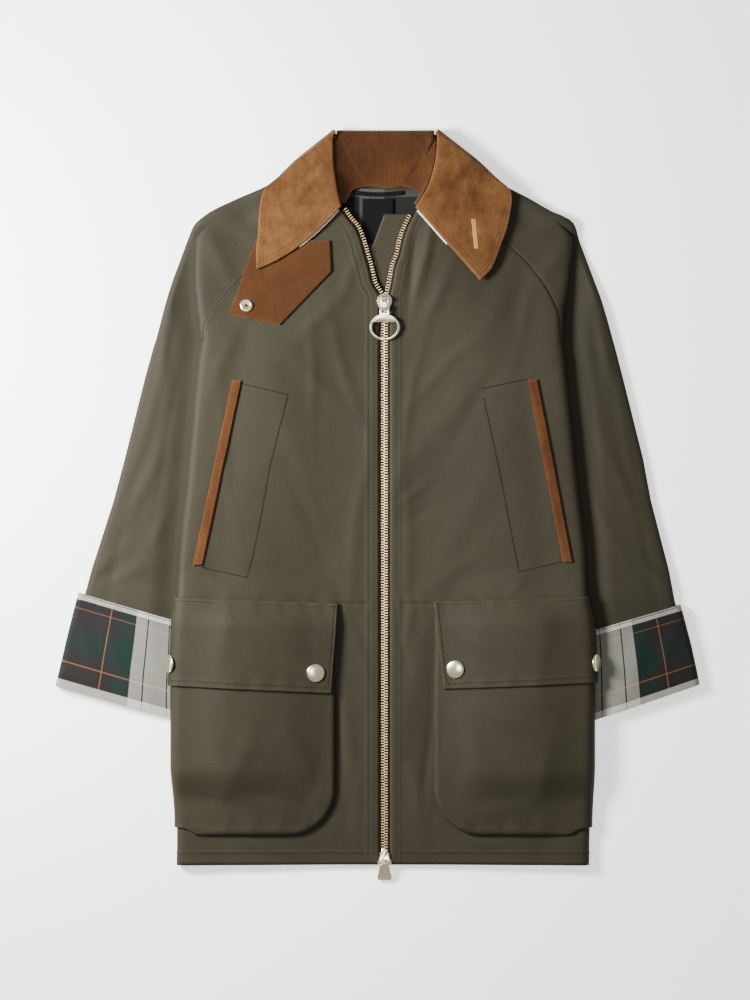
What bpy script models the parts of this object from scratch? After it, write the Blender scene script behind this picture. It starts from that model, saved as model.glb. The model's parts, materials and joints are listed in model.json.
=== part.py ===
"""Waxed cotton jacket, laid flat on its back: the sewn pieces, the zip and the snaps.

Run with blender --background --python part.py. Metres, +Z up, the jacket's front faces +Z and its
collar points to +Y. All sizes below are in millimetres: x runs outward from the zip, y up from the
hem, z up from the surface that the jacket lies on. Both sides of the body are folded under, and the
sleeves lie beneath the folded sides.
"""

import math

import bmesh
import bpy
import numpy as np

MM = 0.001
CENTRE_X = -6.65  # middle of the whole outline, measured from the zip
CENTRE_Y = 342.0

WALL = 1.5  # every cloth wall
PITCH = 1.9  # from one layer's middle to the next layer's middle
FLOOR = WALL / 2  # middle of a layer that lies on the surface
SEAM = 0.3  # gap between two pieces at a seam
UNDERARM = 498.0
NECK_SEAM = 643.0  # back neck seam
WING = 75.0  # cloth folded under at each side, up to the side seam
SIDE_BEND = 7.0  # how far the side fold bulges outward
SIDE_BEND_LENGTH = 20.0
MIDDLE = 4.75  # height of the fronts beside the zip
SIDE_LOFT = 2.2
SIDE_PUFF = 2.5
NECK_RISE = 6.2

# Fold line of the body's side, then the shoulder line: height, left and right distance from the zip.
FOLD = (
    (0, 196, 193), (45, 196, 194), (100, 199, 195.5), (176, 199, 195.5), (214, 197, 194.5), (252, 196, 191.5),
    (290, 194, 190), (366, 186, 182), (442, 179, 174), (480, 175, 170), (498, 173, 168),
    (518, 176, 169), (556, 179, 174), (607, 176, 177), (620, 163, 157), (632, 139, 137),
    (642, 115, 117), (651, 99, 101), (660, 86, 87), (672, 70, 71), (680, 60, 60),
)
# Outer line of the sleeves, down to the cuffs.
OUTER = (
    (258, 285, 274), (271, 280, 271), (309, 268, 262), (347, 256, 252), (385, 246, 245), (423, 237, 235),
    (461, 227, 226), (499, 216, 216), (537, 206, 205), (556, 200, 198), (575, 193, 191),
    (594, 186, 184), (607, 180, 180), (613, 174, 174), (620, 164, 158), (632, 139, 137),
    (642, 115, 117), (651, 99, 101), (660, 86, 87), (672, 70, 71), (680, 60, 60),
)
# Front raglan seam, from the underarm to the neck, then the neck edge of the sleeve.
RAGLAN = (
    (498, 172.6, 167.6), (511, 171, 165.5), (521, 166, 165), (532, 158, 161), (545, 147, 155), (557, 136, 147),
    (573, 122, 134), (594, 104, 111), (615, 85, 86), (635, 66, 64), (651, 50, 50), (680, 50, 50),
)
# Inner edge of the fronts: the zip, the open V, and the neck.
FRONT_EDGE = (
    (0, 5.3, 5.3), (538, 5.3, 5.3), (551, 12, 8), (568, 16, 11), (578, 19, 15), (592, 23, 18),
    (604, 28, 22), (612, 35, 26), (618, 39, 29), (623, 43.5, 33), (651, 49, 49),
)
# Height of whatever lies under the folded sides: nothing at the hem, the cuff, then the sleeve.
STACK = ((0, 0.0), (62, 0.0), (94, 8.2), (249, 8.2), (280, 4.3), (700, 4.3))
# Inner edge of the sleeves, hidden under the body.
INNER = ((129, 158), (214, 139), (366, 108), (498, 75))


def curve(table, column, at):
    """A smooth line through a table's rows that never overshoots them, read at any heights."""
    rows = np.array(table, float)
    y, v = rows[:, 0], rows[:, column]
    step = np.diff(y)
    slope = np.diff(v) / step
    tangent = np.concatenate([[slope[0]], np.zeros(len(y) - 2), [slope[-1]]])
    for i in range(1, len(y) - 1):
        if slope[i - 1] * slope[i] > 0:
            tangent[i] = 2 * slope[i - 1] * slope[i] / (slope[i - 1] + slope[i])
    at = np.clip(np.asarray(at, float), y[0], y[-1])
    k = np.clip(np.searchsorted(y, at) - 1, 0, len(step) - 1)
    t = (at - y[k]) / step[k]
    return (
        (2 * t**3 - 3 * t**2 + 1) * v[k] + (t**3 - 2 * t**2 + t) * step[k] * tangent[k]
        + (3 * t**2 - 2 * t**3) * v[k + 1] + (t**3 - t**2) * step[k] * tangent[k + 1]
    )


def smooth(t):
    t = np.clip(t, 0.0, 1.0)
    return t * t * (3 - 2 * t)


def back_rise(s, y):
    """Lift over the back fall of the collar, which lies under the neck."""
    return PITCH * smooth((y - 598) / 18) * (1 - smooth((s - 112) / 25))


class Side:
    """One half of the jacket. Its methods take s, outward from the zip, and y, up from the hem."""

    def __init__(self, name, sign, column):
        self.name = name
        self.sign = sign
        self.column = column

    def fold(self, y):
        return curve(FOLD, self.column, y)

    def outer(self, y):
        return curve(OUTER, self.column, y)

    def raglan(self, y):
        return curve(RAGLAN, self.column, y)

    def edge(self, y):
        return curve(FRONT_EDGE, self.column, y)

    def inner(self, y):
        return curve(INNER, 1, y)

    def floor_edge(self, y):
        """How far out the middle of the back lies on the surface."""
        return self.fold(y) - np.maximum(113, self.fold(y) - self.inner(y) + 32)

    def back_seam(self, y):
        """Back raglan seam, from the underarm to the neck."""
        up = np.clip((y - UNDERARM) / 157.0, 0, 1)
        return self.floor_edge(UNDERARM) * (1 - up) + 48.5 * up

    def base(self, s, y):
        """Underside of the folded wing, which rides on the sleeve."""
        return curve(STACK, 1, y) + 0 * s

    def back_base(self, s, y):
        """Lift of the back, down to the surface past the wing and the sleeve's inner edge."""
        drop = np.minimum(self.inner(y) - 6, self.fold(y) - WING - 1)
        return curve(STACK, 1, y) * (1 - smooth((drop - s) / 25))

    def top(self, s, y):
        """Middle of the outer cloth over the whole front and shoulder."""
        depth = self.fold(y) - s
        layers = 1 + 2 * (1 - smooth((y - UNDERARM) / 70))
        reach = np.maximum(156, self.fold(y) - self.inner(y) + 52)
        crest = curve(STACK, 1, y) * (1 - 0.6 * smooth((y - 520) / 90)) + FLOOR + layers * PITCH + SIDE_LOFT
        body = MIDDLE + (crest - MIDDLE) * smooth((reach - depth) / (reach - 45))
        puff = SIDE_PUFF * smooth((45 - depth) / 38)
        neck = NECK_RISE * smooth((y - 470) / 80) * (1 - smooth((s - 50) / 80)) * (1 - 0.5 * smooth((y - 625) / 40))
        return body + puff + neck + back_rise(s, y) + self.folds(s, y)

    def folds(self, s, y):
        """The largest soft folds of the fronts, as low ridges."""
        total = np.zeros(np.broadcast(s, y).shape)
        for side, at_s, at_y, lean, half_length, half_width, height in FOLDS:
            if side != self.name:
                continue
            angle = math.radians(lean)
            along = (s - at_s) * math.sin(angle) + (y - at_y) * math.cos(angle)
            across = (s - at_s) * math.cos(angle) - (y - at_y) * math.sin(angle)
            total = total + height * np.exp(-((along / half_length) ** 2) - (across / half_width) ** 2)
        return total

    def shell(self, s, y):
        """Outer cloth: across the top, round the side fold, and back beneath it."""
        s, y = np.broadcast_arrays(np.asarray(s, float), np.asarray(y, float))
        start = self.fold(y) - SIDE_BEND
        turn = np.clip((s - start) / SIDE_BEND_LENGTH, 0, 1) * math.pi
        past = np.maximum(s - start - SIDE_BEND_LENGTH, 0)
        x = np.where(s <= start, s, start + SIDE_BEND * np.sin(turn) - past)
        high = self.top(start, y)
        low = self.base(start - past, y) + FLOOR
        z = np.where(s <= start, self.top(s, y), (high + low) / 2 + (high - low) / 2 * np.cos(turn))
        return np.stack([self.sign * x, y, z], axis=-1)

    def lifted(self, s, y, out):
        """Points moved out from the outer cloth along its normal."""
        step = 0.5
        s, y, out = np.broadcast_arrays(np.asarray(s, float), np.asarray(y, float), np.asarray(out, float))
        along = self.shell(s + step, y) - self.shell(s - step, y)
        up = self.shell(s, y + step) - self.shell(s, y - step)
        normal = np.cross(along, up) * self.sign
        normal /= np.linalg.norm(normal, axis=-1, keepdims=True)
        return self.shell(s, y) + normal * out[..., None]


# Soft folds: side, place across and up, lean from upright in degrees, half length, half width, height.
FOLDS = (
    ("left", 90, 400, 12, 90, 16, 0.9), ("left", 55, 210, -10, 80, 14, 0.8), ("left", 120, 545, -38, 45, 10, 0.8),
    ("right", 40, 400, 35, 80, 13, 1.1), ("right", 78, 330, 22, 95, 14, 0.9), ("right", 100, 520, 30, 50, 11, 0.8),
    ("right", 30, 190, 12, 90, 12, 0.9),
)
LEFT = Side("left", -1, 1)
RIGHT = Side("right", 1, 2)
SIDES = (LEFT, RIGHT)


# ---------------------------------------------------------------- Blender helpers


def clear_scene():
    for obj in list(bpy.data.objects):
        bpy.data.objects.remove(obj, do_unlink=True)
    collection = bpy.data.collections.new("waxed_jacket")
    bpy.context.scene.collection.children.link(collection)
    return collection


def material(name, colour, roughness, metallic=0.0):
    made = bpy.data.materials.new(name)
    made.use_nodes = True
    shader = made.node_tree.nodes["Principled BSDF"]
    shader.inputs["Base Color"].default_value = (*colour, 1.0)
    shader.inputs["Roughness"].default_value = roughness
    shader.inputs["Metallic"].default_value = metallic
    return made


def add_mesh(name, points, faces, look):
    """A mesh object from points in millimetres, with its own copy of a material."""
    placed = (np.asarray(points, float) - (CENTRE_X, CENTRE_Y, 0.0)) * MM
    mesh = bpy.data.meshes.new(name)
    mesh.from_pydata(placed.tolist(), [], faces)
    own = look.copy()
    own.name = name
    mesh.materials.append(own)
    obj = bpy.data.objects.new(name, mesh)
    COLLECTION.objects.link(obj)
    return obj


def sheet(name, grid, look, kept=None, wall=WALL, loop=False):
    """Cloth: a grid of points on its middle surface, thickened half a wall each way."""
    rows, columns = grid.shape[:2]
    count = columns if loop else columns - 1
    faces = []
    for r in range(rows - 1):
        for c in range(count):
            if kept is None or kept[r][c]:
                after = (c + 1) % columns
                faces.append((r * columns + c, r * columns + after, (r + 1) * columns + after, (r + 1) * columns + c))
    used = sorted({corner for face in faces for corner in face})
    index = {old: new for new, old in enumerate(used)}
    points = grid.reshape(-1, 3)[used]
    obj = add_mesh(name, points, [tuple(index[corner] for corner in face) for face in faces], look)
    work = bmesh.new()
    work.from_mesh(obj.data)
    bmesh.ops.recalc_face_normals(work, faces=work.faces)
    work.to_mesh(obj.data)
    work.free()
    solid = obj.modifiers.new("Wall", "SOLIDIFY")
    solid.thickness = wall * MM
    solid.offset = 0.0
    obj.data.shade_smooth()
    return obj


def blend(a, b, count):
    """Evenly spaced values from a to b, along a new last axis."""
    t = np.linspace(0.0, 1.0, count)
    return np.asarray(a, float)[..., None] * (1 - t) + np.asarray(b, float)[..., None] * t


# ---------------------------------------------------------------- cloth


BODY_ROWS = np.array([1, 32, 62, 94, 135, 175, 215, 249, 280, 325, 370, 412, 455, UNDERARM - SEAM])
SHOULDER_ROWS = np.concatenate([
    np.linspace(UNDERARM + SEAM, 590, 6), (597, 604, 612), np.linspace(621, 648, 4),
])
WING_SHARE = np.linspace(0.0, 1.0, 4)
WING_FLAT = WING - 2 * SIDE_BEND
MIDDLE_COLUMNS = 7  # of the back, where it lies on the surface


def front(side, look):
    """Front panel: rows up the jacket, columns from the zip round the side fold to the side seam."""
    y = np.concatenate([BODY_ROWS, SHOULDER_ROWS])
    start = side.fold(y) - SIDE_BEND
    below = y < UNDERARM
    inner = side.edge(y)
    outer = np.where(below, start, np.minimum(side.raglan(y) - SEAM, start + 5.0))
    across = blend(inner, outer, 9)
    bend = start[:, None] + np.linspace(0, SIDE_BEND_LENGTH, 7)[1:]
    under = start[:, None] + SIDE_BEND_LENGTH + WING_FLAT * WING_SHARE[1:]
    s = np.concatenate([across, bend, under], axis=1)
    grid = side.shell(s, y[:, None])
    kept = [[c < 8 or y[r + 1] < UNDERARM for c in range(s.shape[1] - 1)] for r in range(len(y) - 1)]
    sheet("front_" + side.name, grid, look, kept)


def back_half(side, y, floor_edge):
    """Columns of the back from the floor's edge outward, round the inner fold, to the side seam."""
    fold_s = side.fold(y) - SIDE_BEND
    up = fold_s[:, None] - WING_FLAT * WING_SHARE[::-1]
    ramp = blend(floor_edge, up[:, 0], 6)[:, 1:-1]
    turn = np.linspace(0, math.pi, 5)[1:]
    bend_s = fold_s[:, None] + 1.5 * np.sin(turn)
    down = fold_s[:, None] - WING_FLAT * WING_SHARE[1:]
    y = y[:, None]
    climbing = np.concatenate([ramp, up], axis=1)
    depth = side.fold(y) - climbing
    climb_z = side.back_base(climbing, y) + FLOOR + 2 * PITCH * (1 - smooth((depth - WING - 1) / 35))
    bend_z = side.base(bend_s, y) + FLOOR + PITCH * (1.5 + 0.5 * np.cos(turn))
    down_z = side.base(down, y) + FLOOR + PITCH
    s = np.concatenate([climbing, bend_s, down], axis=1)
    return side.sign * s, np.concatenate([climb_z, bend_z, down_z], axis=1)


def back(look):
    """Back panel: flat in the middle, its wings folded inside the fronts' wings."""
    rows = []
    for y in BODY_ROWS:
        half = np.array([y])
        edges = [side.floor_edge(half) for side in SIDES]
        left_x, left_z = back_half(LEFT, half, edges[0])
        right_x, right_z = back_half(RIGHT, half, edges[1])
        middle = np.linspace(-edges[0][0], edges[1][0], MIDDLE_COLUMNS)
        x = np.concatenate([left_x[0][::-1], middle, right_x[0]])
        z = np.concatenate([left_z[0][::-1], np.full(MIDDLE_COLUMNS, FLOOR), right_z[0]])
        rows.append(np.stack([x, np.full(len(x), y), z], axis=-1))
    wide = len(rows[0])
    side_columns = (wide - MIDDLE_COLUMNS) // 2
    share = np.linspace(-1.0, 1.0, MIDDLE_COLUMNS)
    for up in np.linspace(0.0, 1.0, 10)[1:]:
        y = UNDERARM - SEAM + up * (NECK_SEAM + 10.0 * share**2 - UNDERARM)
        edge = np.where(share < 0, LEFT.back_seam(y), RIGHT.back_seam(y)) - SEAM
        x = share * edge
        row = rows[-1].copy()
        row[side_columns:side_columns + MIDDLE_COLUMNS] = np.stack([x, y, FLOOR + back_rise(np.abs(x), y)], axis=-1)
        rows.append(row)
    kept = [
        [r < len(BODY_ROWS) - 1 or side_columns <= c < side_columns + MIDDLE_COLUMNS - 1 for c in range(wide - 1)]
        for r in range(len(rows) - 1)
    ]
    sheet("back", np.array(rows), look, kept)


TUCK_END = 612.0
ARM_BEND = 5.0


def lower_sleeve(side, s, y):
    """Height of the sleeve's front half where it comes out from under the body."""
    shown = smooth((s - side.fold(y) - 5) / 22)
    return FLOOR + PITCH + 0.1 + 3.2 * shown


def sleeve_row(side, y):
    """One level row above the underarm: top, fold, tuck, fold, lower front, outer bend, back."""
    fold, outer = float(side.fold(y)), float(side.outer(y))
    seam = float(side.raglan(y)) + SEAM if y < 652 else float(side.raglan(y))
    start = fold - SIDE_BEND
    seam = min(seam, start + 5.5)
    first = max(start, seam + 1.5)
    s = np.concatenate([np.linspace(seam, first, 4), np.linspace(first, start + SIDE_BEND_LENGTH, 5)[1:]])
    top = side.shell(s, y)
    top_x, top_z = np.abs(top[:, 0]), top[:, 2]
    rise = float(back_rise(outer - ARM_BEND, y))
    depth = max(9.0, 0.9 * (607 - y))
    tuck_z = top_z[-1]
    low_z = float(lower_sleeve(side, fold - depth, y)) + rise
    tuck_x = np.linspace(start, fold - depth, 4)[1:]
    turn = np.linspace(0, math.pi, 5)[1:]
    inner_x = fold - depth - 2.5 * np.sin(turn)
    inner_z = (tuck_z + low_z) / 2 + (tuck_z - low_z) / 2 * np.cos(turn)
    edge = min(fold + 5, outer - ARM_BEND - 2)
    out_x = np.concatenate([[(fold - depth + edge) / 2], np.linspace(edge, outer - ARM_BEND, 5)])
    out_z = lower_sleeve(side, out_x, y) + rise
    folded_x = np.concatenate([top_x, tuck_x, inner_x, out_x])
    folded_z = np.concatenate([top_z, np.full(3, tuck_z), inner_z, out_z])
    share = np.concatenate([np.linspace(0, 0.85, 4), np.linspace(0.85, 1.0, len(folded_x) - 3)[1:]])
    plain_x = seam + (outer - ARM_BEND - seam) * share
    plain_z = side.top(plain_x, y)
    open_share = smooth((y - (TUCK_END - 20)) / 20)
    x = folded_x + (plain_x - folded_x) * open_share
    z = folded_z + (plain_z - folded_z) * open_share
    floor_z = FLOOR + rise
    around = np.linspace(0, math.pi, 6)[1:]
    bend_x = x[-1] + ARM_BEND * np.sin(around)
    bend_z = (z[-1] + floor_z) / 2 + (z[-1] - floor_z) / 2 * np.cos(around)
    back_x = np.linspace(x[-1], float(side.back_seam(y)) + SEAM, 6)[1:]
    back_z = FLOOR + back_rise(back_x, y)
    x = np.concatenate([x, bend_x, back_x])
    z = np.concatenate([z, bend_z, back_z])
    return np.stack([side.sign * x, np.full(len(x), y), z], axis=-1)


# Sleeve rows below the underarm: height and reach of the outer and inner ends, left then right outer.
ARM = {
    # outer y, outer reach, inner y, inner reach
    "left": (
        (498, 216.3, 498, 76), (490, 219, 488, 78), (461, 227, 452, 86), (385, 246, 360, 112), (347, 256, 315, 122),
        (281, 277, 242, 138), (262, 282, 222, 143), (246, 287, 205, 148), (215, 296, 172, 156), (172.5, 307.5, 131, 164),
    ),
    "right": (
        (498, 216.3, 498, 76), (490, 218.5, 488, 78), (461, 226, 452, 86), (385, 245, 360, 112), (347, 252, 315, 122),
        (281, 269, 240, 138), (251, 274.5, 213, 143), (236, 278.5, 196.5, 148), (206, 286, 166, 156), (174, 294.5, 128, 164),
    ),
}
CUFF_ROW = 6  # first row inside the cuff


def arm_heights(side, s, y, row, top):
    """The tube's two walls: on the floor, then lifted inside the cuff."""
    lift = PITCH * smooth((row - CUFF_ROW + 1.6) / 1.4)
    if not top:
        return FLOOR + lift + 0.0 * s
    return lower_sleeve(side, s, y) + lift


def tube_places(side, inner_s, outer_s, y):
    """Places across a tube: three up to the body's fold, then five out to the bend."""
    edge = float(side.fold(y)) + 5
    return np.concatenate([np.linspace(inner_s, edge, 3), np.linspace(edge, outer_s, 5)[1:]])


def arm_row(side, row, reach=0.0):
    """One slanted row below the underarm, from the inner edge over the front half and back."""
    outer_y, outer_s, inner_y, inner_s = ARM[side.name][row]
    outer_s += reach
    front_s = tube_places(side, inner_s, outer_s - ARM_BEND, (outer_y + inner_y) / 2)
    front_y = inner_y + (outer_y - inner_y) * (front_s - inner_s) / (outer_s - inner_s)
    front_z = arm_heights(side, front_s, front_y, row, True)
    around = np.linspace(0, math.pi, 6)[1:]
    low = arm_heights(side, front_s[-1], outer_y, row, False)
    bend_s = front_s[-1] + ARM_BEND * np.sin(around)
    bend_z = (front_z[-1] + low) / 2 + (front_z[-1] - low) / 2 * np.cos(around)
    back_s = np.linspace(front_s[-1], inner_s, 6)[1:]
    s = np.concatenate([front_s, bend_s, back_s])
    y = inner_y + (outer_y - inner_y) * (s - inner_s) / (outer_s - inner_s)
    z = np.concatenate([front_z, bend_z, np.full(5, low)])
    return np.stack([side.sign * s, y, z], axis=-1)


def sleeve(side, look):
    """One-piece raglan sleeve: the shoulder with its tuck, then the arm as a flat tube."""
    levels = np.concatenate([SHOULDER_ROWS, (657, 668, 678)])
    upper = np.array([sleeve_row(side, y) for y in levels])[::-1]
    hidden = upper.shape[1] - 17
    lower = []
    for row in range(len(ARM[side.name])):
        arm = arm_row(side, row)
        lower.append(np.concatenate([np.repeat(arm[:1], hidden, axis=0), arm]))
    grid = np.concatenate([upper, np.array(lower)])
    kept = [
        [r < len(levels) - 1 or c >= hidden for c in range(grid.shape[1] - 1)] for r in range(len(grid) - 1)
    ]
    sheet("sleeve_" + side.name, grid, look, kept)


# The turned-back cuff: rows from its top edge to its bottom, as outer and inner ends.
CUFF = {
    # outer y, outer reach, inner y, inner reach
    "left": ((259, 289.5, 215, 140), (246, 293, 202, 143), (216, 300.5, 170, 151), (184, 308, 141, 158), (170.5, 311.4, 128.5, 161)),
    "right": ((247.5, 280, 206, 140), (235, 283.5, 193.5, 143), (208, 290.5, 164, 151), (182.5, 296, 136, 158), (172, 298.1, 125, 161)),
}


def cuff(side, look):
    """A flat tube round the end of the sleeve."""
    rows = []
    for row, (outer_y, outer_s, inner_y, inner_s) in enumerate(CUFF[side.name]):
        middle = tube_places(side, inner_s + 4, outer_s - ARM_BEND, (outer_y + inner_y) / 2)
        along = (middle - inner_s) / (outer_s - inner_s)
        cloth_y = inner_y + (outer_y - inner_y) * along
        lift = PITCH * (1.0 if row else 0.85)
        top = lower_sleeve(side, middle, cloth_y) + lift + PITCH + 0.5
        turn = np.linspace(0, math.pi, 6)[1:-1]
        outer_bend = outer_s - ARM_BEND + ARM_BEND * np.sin(turn)
        outer_z = (top[-1] + FLOOR) / 2 + (top[-1] - FLOOR) / 2 * np.cos(turn)
        inner_bend = inner_s + 4 - 4 * np.sin(turn)
        inner_z = (top[0] + FLOOR) / 2 - (top[0] - FLOOR) / 2 * np.cos(turn)
        s = np.concatenate([middle, outer_bend, middle[::-1], inner_bend])
        z = np.concatenate([top, outer_z, np.full(7, FLOOR), inner_z])
        y = inner_y + (outer_y - inner_y) * (s - inner_s) / (outer_s - inner_s)
        rows.append(np.stack([side.sign * s, y, z], axis=-1))
    sheet("cuff_" + side.name, np.array(rows), look, loop=True)


# ---------------------------------------------------------------- collar, tab and neck

FALL_LIFT = 3 * PITCH + 0.4  # fall above the fronts, with the tab and the undercollar between
# Rays of the fall, from the roll line to its free edge: front edge first, shoulder line last.
FALL_LEFT = (
    # roll s, roll y, edge s, edge y, bow
    (40.4, 624.2, 121, 565, 8), (43, 633, 121.5, 580, 5), (46, 650, 120, 596, 2), (48, 665, 118.3, 619, 0),
    (48.5, 680, 116.4, 632, 0), (48.2, 690, 112.5, 641, 0), (45.5, 693.8, 106, 645.5, 0),
)
FALL_RIGHT = (
    (29, 623, 90, 554.5, 0), (34, 631, 101, 565, 0), (40, 641, 110, 587, 0), (45, 655, 117, 608, 0),
    (48.5, 672, 120.5, 630, 0), (49.5, 688, 119, 639, 0), (48.3, 693.8, 111, 645, 0),
)
SHOULDER_OUT = (2.5, 3.2)  # bulge of the fold round the shoulder line
# Rays of the hidden back fall, on the surface: place along the roll, free edge's place and height.
BACK_FALL = ((31, 88, 629), (15, 48, 618), (0, 0, 615))
CREST_Y = 693.8
FALL_POINTS = 6


def fall_height(side, s, y):
    return side.top(s, y) + FALL_LIFT


def fall_rays(side, rows):
    """Rays of one side, front edge to back, as points from the roll to the free edge."""
    share = np.linspace(0.0, 1.0, FALL_POINTS)
    rays = []
    for roll_s, roll_y, edge_s, edge_y, bow in rows:
        s = roll_s + (edge_s - roll_s) * share
        y = roll_y + (edge_y - roll_y) * share - bow * 4 * share * (1 - share)
        rays.append(np.stack([side.sign * s, y, fall_height(side, s, y)], axis=-1))
    last = rays[-1]
    for turn in np.linspace(0, math.pi, 6)[1:]:
        ray = last.copy()
        ray[:, 0] += side.sign * SHOULDER_OUT[0] * math.sin(turn)
        ray[:, 1] += SHOULDER_OUT[1] * math.sin(turn)
        ray[:, 2] = (last[:, 2] + FLOOR) / 2 + (last[:, 2] - FLOOR) / 2 * math.cos(turn)
        rays.append(ray)
    for roll_s, edge_s, edge_y in BACK_FALL[:-1]:
        x = side.sign * (roll_s + (edge_s - roll_s) * share)
        rays.append(np.stack([x, CREST_Y + (edge_y - CREST_Y) * share, np.full(FALL_POINTS, FLOOR)], axis=-1))
    return rays


def collar_fall(look):
    """The fall: over the left front, round the shoulder, under the back neck, and over the right."""
    share = np.linspace(0.0, 1.0, FALL_POINTS)
    centre = np.stack([0 * share, CREST_Y + (BACK_FALL[-1][2] - CREST_Y) * share, 0 * share + FLOOR], axis=-1)
    rays = fall_rays(LEFT, FALL_LEFT) + [centre] + fall_rays(RIGHT, FALL_RIGHT)[::-1]
    sheet("collar_fall", np.array(rays), look)


# Stations of the stand at each side: reach from the roll toward the neck seam.
STAND = (
    # ray of the fall, neck seam s, y, height
    (0.35, 36.5, 627.5, 14.6), (1, 34.5, 632, 12.5), (2, 31, 638.5, 9.5), (3, 27, 641.5, 7.6), (4, 22, 643, 6.9),
    (5, 17, 643.6, 6.7),
)
CREST_START = 689.0
CREST_BULGE = 7.2


def stand_side(side, rows):
    """Stations of the stand along one side, which end at the roll line."""
    stations = []
    for ray, seam_s, seam_y, seam_z in STAND:
        low = int(ray)
        part = ray - low
        roll_s = rows[low][0] * (1 - part) + rows[min(low + 1, 6)][0] * part
        roll_y = rows[low][1] * (1 - part) + rows[min(low + 1, 6)][1] * part
        seam_s = min(seam_s, roll_s - 3.0)
        roll_z = float(fall_height(side, roll_s, roll_y)) - 0.1
        toward = np.array([seam_s - roll_s, seam_y - roll_y])
        toward /= np.linalg.norm(toward)
        start = np.array([roll_s, roll_y]) + toward * 0.55
        share = np.concatenate([np.linspace(0, 0.9, 4), 0.9 + 0.025 * np.arange(1, 5)])
        plan = np.array([seam_s, seam_y]) + (start - (seam_s, seam_y)) * share[:, None]
        z = seam_z + (roll_z - seam_z) * smooth(share * 0.5 + 0.25 * share)
        stations.append(np.stack([side.sign * plan[:, 0], plan[:, 1], z], axis=-1))
    return stations


def stand_back(x):
    """One station of the stand across the back neck, which turns over the crest."""
    share = np.linspace(0, 1, 4)
    crest = 12.0 + 3.0 * (abs(x) / 40.0) ** 2
    y = NECK_SEAM + 0.7 + (CREST_START - NECK_SEAM - 0.7) * share
    z = 6.7 + (crest - 6.7) * share
    turn = np.linspace(0, math.pi, 5)[1:]
    y = np.concatenate([y, CREST_START + CREST_BULGE * np.sin(turn)])
    z = np.concatenate([z, (crest + 3.1) / 2 + (crest - 3.1) / 2 * np.cos(turn)])
    seam_x = x * 0.33
    across = np.concatenate([seam_x + (x - seam_x) * share, np.full(4, x)])
    return np.stack([across, y, z], axis=-1)


def collar_stand(look):
    """The stand: inside of the neck, from the neck seam up to the roll."""
    stations = stand_side(LEFT, FALL_LEFT)
    stations += [stand_back(x) for x in (-41.5, -18.0, 0.0, 19.0, 42.5)]
    stations += stand_side(RIGHT, FALL_RIGHT)[::-1]
    sheet("collar_stand", np.array(stations), look)


def undercollar(side, rows, look):
    """Pale edge of the undercollar, just past the fall's front edge."""
    roll_s, roll_y, edge_s, edge_y, bow = rows[0]
    share = np.linspace(0.04, 0.5, 6)
    s = roll_s + (edge_s - roll_s) * share
    y = roll_y + (edge_y - roll_y) * share - bow * 4 * share * (1 - share)
    along = np.stack([np.gradient(s), np.gradient(y)], axis=-1)
    along /= np.linalg.norm(along, axis=1, keepdims=True)
    rows_out = []
    for out in (1.3, -3.5, -8.0):
        at_s, at_y = s + along[:, 1] * out, y - along[:, 0] * out
        rows_out.append(np.stack([side.sign * at_s, at_y, fall_height(side, s, y) - PITCH], axis=-1))
    sheet("undercollar_" + side.name, np.array(rows_out), look, wall=1.0)


# Throat tab: rows from its free end up under the fall, as outer and inner corners.
TAB = ((147.7, 521.6, 99.3, 512), (139.5, 543, 74, 538), (132.5, 565, 50, 563), (122, 592, 51.5, 592))


def throat_tab(look):
    corners = np.array(TAB)
    share = np.linspace(0, 1, 7)[:, None]
    grids = []
    for a, b in zip(corners[:-1], corners[1:]):
        for t in (0.0, 0.5):
            row = a * (1 - t) + b * t
            grids.append(row[:2] * (1 - share) + row[2:] * share)
    grids.append(corners[-1][:2] * (1 - share) + corners[-1][2:] * share)
    plan = np.array(grids)
    sheet("throat_tab", LEFT.lifted(plan[..., 0], plan[..., 1], PITCH + 0.35), look)


def neck_inside(lining, label, loop, flap):
    """The lining, the plain label, the hanger loop and the wind flap that show in the open neck."""
    x, y = np.meshgrid(np.linspace(-42, 40, 7), np.linspace(556, NECK_SEAM - 1.0, 7))
    sheet("neck_lining", np.stack([x, y, FLOOR + back_rise(np.abs(x), y) + PITCH + 0.3], axis=-1), lining)
    x, y = np.meshgrid(np.linspace(-21, 9, 3), np.linspace(589, 632, 6))
    sheet("label", np.stack([x, y, FLOOR + back_rise(np.abs(x), y) + 2 * PITCH], axis=-1), label, wall=1.0)
    x = np.linspace(-29.5, 18.0, 11)
    sag = 1 - ((x + 5.75) / 25.25) ** 2
    loop_grid = [
        np.stack([x, 638.2 - 2.0 * sag + edge, FLOOR + 2.9 * PITCH + 0.4 + 0.8 * sag], axis=-1) for edge in (-2, 2)
    ]
    sheet("hanger_loop", np.array(loop_grid), loop, wall=1.2)
    y = np.array([536, 546, 565, 584, 601, 617.5])
    left = np.array([1.0, -1.4, -7.5, -12.8, -6.5, -0.5])
    right = RIGHT.edge(y) + 11
    x = blend(left, right, 5)
    y = y[:, None] + 0 * x
    sheet("wind_flap", np.stack([x, y, FLOOR + back_rise(np.abs(x), y) + 3 * PITCH], axis=-1), flap)


# ---------------------------------------------------------------- zip

ZIP_ROWS = np.concatenate([[14.0], BODY_ROWS[1:], SHOULDER_ROWS[:-4]])
TOP_STOP = {"left": 620.0, "right": 615.0}
CHAIN_HEIGHT = 3.0
CHAIN_SINK = 0.4


def along_edge(side, y, inward):
    """Points beside the front's edge, moved toward the middle of the zip."""
    slope = (side.edge(y + 1) - side.edge(y - 1)) / 2
    length = np.hypot(1, slope)
    return side.edge(y) - inward / length, y + inward * slope / length


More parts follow.
